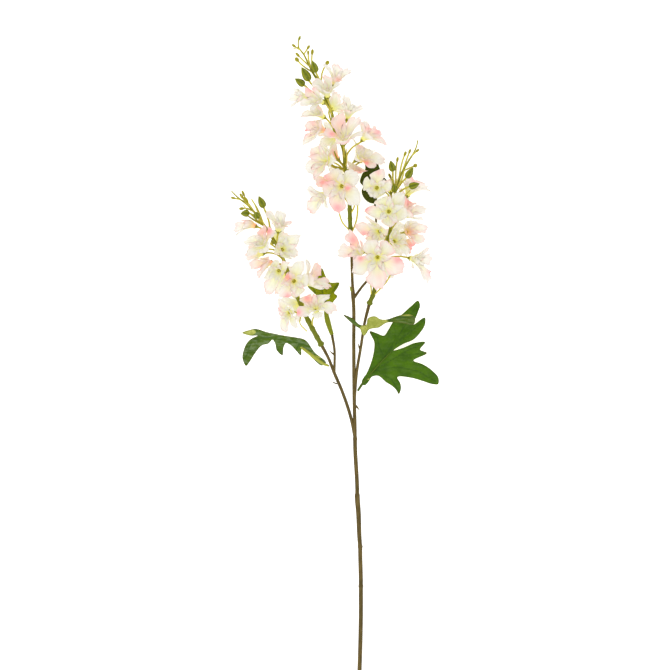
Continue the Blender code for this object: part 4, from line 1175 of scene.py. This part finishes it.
def leaf_paint(name, roughness, top, deep, vein, painted_sheen=0.0):
    """Woven cloth with a net of veins and greyish streaks of painted sheen, pale where the leaf shows
    its underside, brown at its edge.
    """
    paint = Paint(name, roughness, specular=0.12)
    to_vein, to_edge, _ = paint.parts()
    cloth = paint.solid()
    mottle = paint.noise(cloth, 70.0, 4.0)
    streaks = paint.noise(paint.stretched(cloth, (1.0, 3.0, 1.0)), 110.0, 3.0)
    net = paint.node("TexVoronoi", {"Vector": cloth, "Scale": 260.0}, feature="DISTANCE_TO_EDGE")
    cells = paint.ramp(net["Distance"], 0.0, 0.12)
    turned = paint.mix(paint.ramp(mottle, 0.35, 0.65), (182, 186, 96), (150, 158, 66))
    turned = paint.mix(paint.ramp(cells, 0.0, 1.0, 0.5, 0.0), turned, (134, 142, 56))
    frayed = paint.math("ADD", paint.attribute("blush")["Fac"], paint.math("MULTIPLY", mottle, 0.12))
    paint.painted = top
    paint.coat(paint.ramp(mottle, 0.3, 0.7), deep)
    # Painted sheen: greyish streaks that lighten the leaf's face, more on some leaves than on others
    paint.coat(paint.ramp(streaks, 0.4, 0.66, 0.0, painted_sheen), (126, 142, 104))
    paint.coat(paint.ramp(to_vein, 0.3, 1.6, 0.75, 0.0), vein)
    paint.coat(paint.ramp(cells, 0.0, 1.0, 0.22, 0.0), vein)
    paint.coat(paint.ramp(frayed, 0.52, 0.62), turned)
    paint.coat(paint.ramp(to_edge, 0.0, 1.2, 0.45, 0.0), (96, 84, 34))
    weave = paint.noise(cloth, 1800.0, 1.0)
    relief = paint.math("ADD", paint.math("MULTIPLY", cells, 0.5), paint.math("MULTIPLY", weave, 0.4))
    return paint.finished(relief, 0.0005, 0.4)


def bud_paint(name, tip, body):
    paint = Paint(name, 0.5)
    mottle = paint.noise(paint.solid(), 260.0, 3.0)
    ribs = paint.math("SINE", paint.math("MULTIPLY", paint.parts()[0], 2 * math.pi * BUD_RIBS))
    paint.painted = body
    paint.coat(paint.ramp(ribs, -0.6, 1.0), tip)
    paint.coat(paint.ramp(mottle, 0.4, 0.7, 0.0, 0.5), tip)
    return paint.finished(mottle, 0.0006, 0.5)


# Stage


def add_stage():
    """Pale paper under the spray, a white sky, and two wide lamps."""
    size = 4.0
    mesh = bpy.data.meshes.new("floor")
    corners = [(-size, -size, 0), (size, -size, 0), (size, size, 0), (-size, size, 0)]
    mesh.from_pydata(corners, [], [(0, 1, 2, 3)])
    floor = placed("floor", mesh)
    floor.location.z = -0.0006
    paint = Paint("floor_paper", 0.9)
    paint.feed(paint.shader.inputs, {
        "Base Color": (0.86, 0.86, 0.86, 1), "Emission Color": (1, 1, 1, 1), "Emission Strength": 0.7,
    })
    mesh.materials.append(paint.material)
    floor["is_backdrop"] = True
    world = bpy.data.worlds.new("studio")
    world.use_nodes = True
    sky = world.node_tree.nodes["Background"]
    sky.inputs["Color"].default_value = (1, 1, 1, 1)
    sky.inputs["Strength"].default_value = 0.84
    bpy.context.scene.world = world
    lamps = [("key", (0.5, -0.45, 0), 1.0, 35), ("fill", (-0.7, 0.6, 0), 0.4, 60)]
    for name, turn, energy, spread in lamps:
        light = bpy.data.lights.new(name, "SUN")
        light.energy = energy
        light.angle = math.radians(spread)
        placed(name, light).rotation_euler = turn


def add_camera():
    camera = bpy.data.cameras.new("camera")
    camera.sensor_width = 36
    camera.angle = 2 * math.atan(MM_PER_PIXEL * FRAME_PIXELS / 2 / CAMERA_HEIGHT)
    camera.clip_end = 20
    obj = placed("camera", camera)
    obj.location = (AIM[0] * MM, AIM[1] * MM, (AIM[2] + CAMERA_HEIGHT) * MM)
    bpy.context.scene.camera = obj


def main():
    bpy.context.scene.view_settings.view_transform = "Standard"
    add_stage()
    add_camera()
    petal = petal_paint()
    green = stalk_paint("stalk_look", (168, 162, 40), (134, 138, 18), (122, 104, 24), 0.75)
    pale = stalk_paint("pale_stalk_look", (206, 196, 84), (178, 174, 52), (168, 150, 60))
    dark_bud = bud_paint("bud_look", (132, 136, 12), (90, 102, 2))
    bead = bud_paint("bead_look", (170, 160, 40), (140, 134, 20))
    knob = bud_paint("knob_look", (198, 190, 74), (170, 164, 48))
    filament = stalk_paint("filament_look", (238, 228, 170), (230, 220, 150), (222, 206, 140))
    bract = stalk_paint("bract_look", (150, 154, 60), (126, 134, 34), (110, 100, 30))
    add_stem([bark_paint(), bract])
    spikes = [add_spike(side, *rows, [green, dark_bud, bead, pale]) for side, rows in SPIKES]
    every_floret = [floret for _, florets, _ in spikes for floret in florets]
    every_bud = [bud for _, _, buds in spikes for bud in buds]
    for axis, florets, _ in spikes:
        for floret in florets:
            walls = walls_between(floret, every_floret, every_bud, axis)
            add_floret(floret, walls, [petal, knob, filament])
    under = leaf_paint("leaf_underside", 0.7, (176, 186, 98), (160, 172, 84), (196, 198, 120))
    for name, outline, veins, height, petiole, tops, painted_sheen, stalk in LEAVES:
        look = leaf_paint("leaf_look_" + name, 0.5, *tops, (52, 84, 18), painted_sheen)
        stalk_look = stalk_paint(name + "_stalk_look", *stalk)
        add_leaf(name, outline, veins, height, petiole, [look, under, stalk_look])
    new_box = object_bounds()
    boxes = {"cad": CAD_BOX, "look": new_box}
    {name: [list(corner) for corner in box] for name, box in boxes.items()}


main()
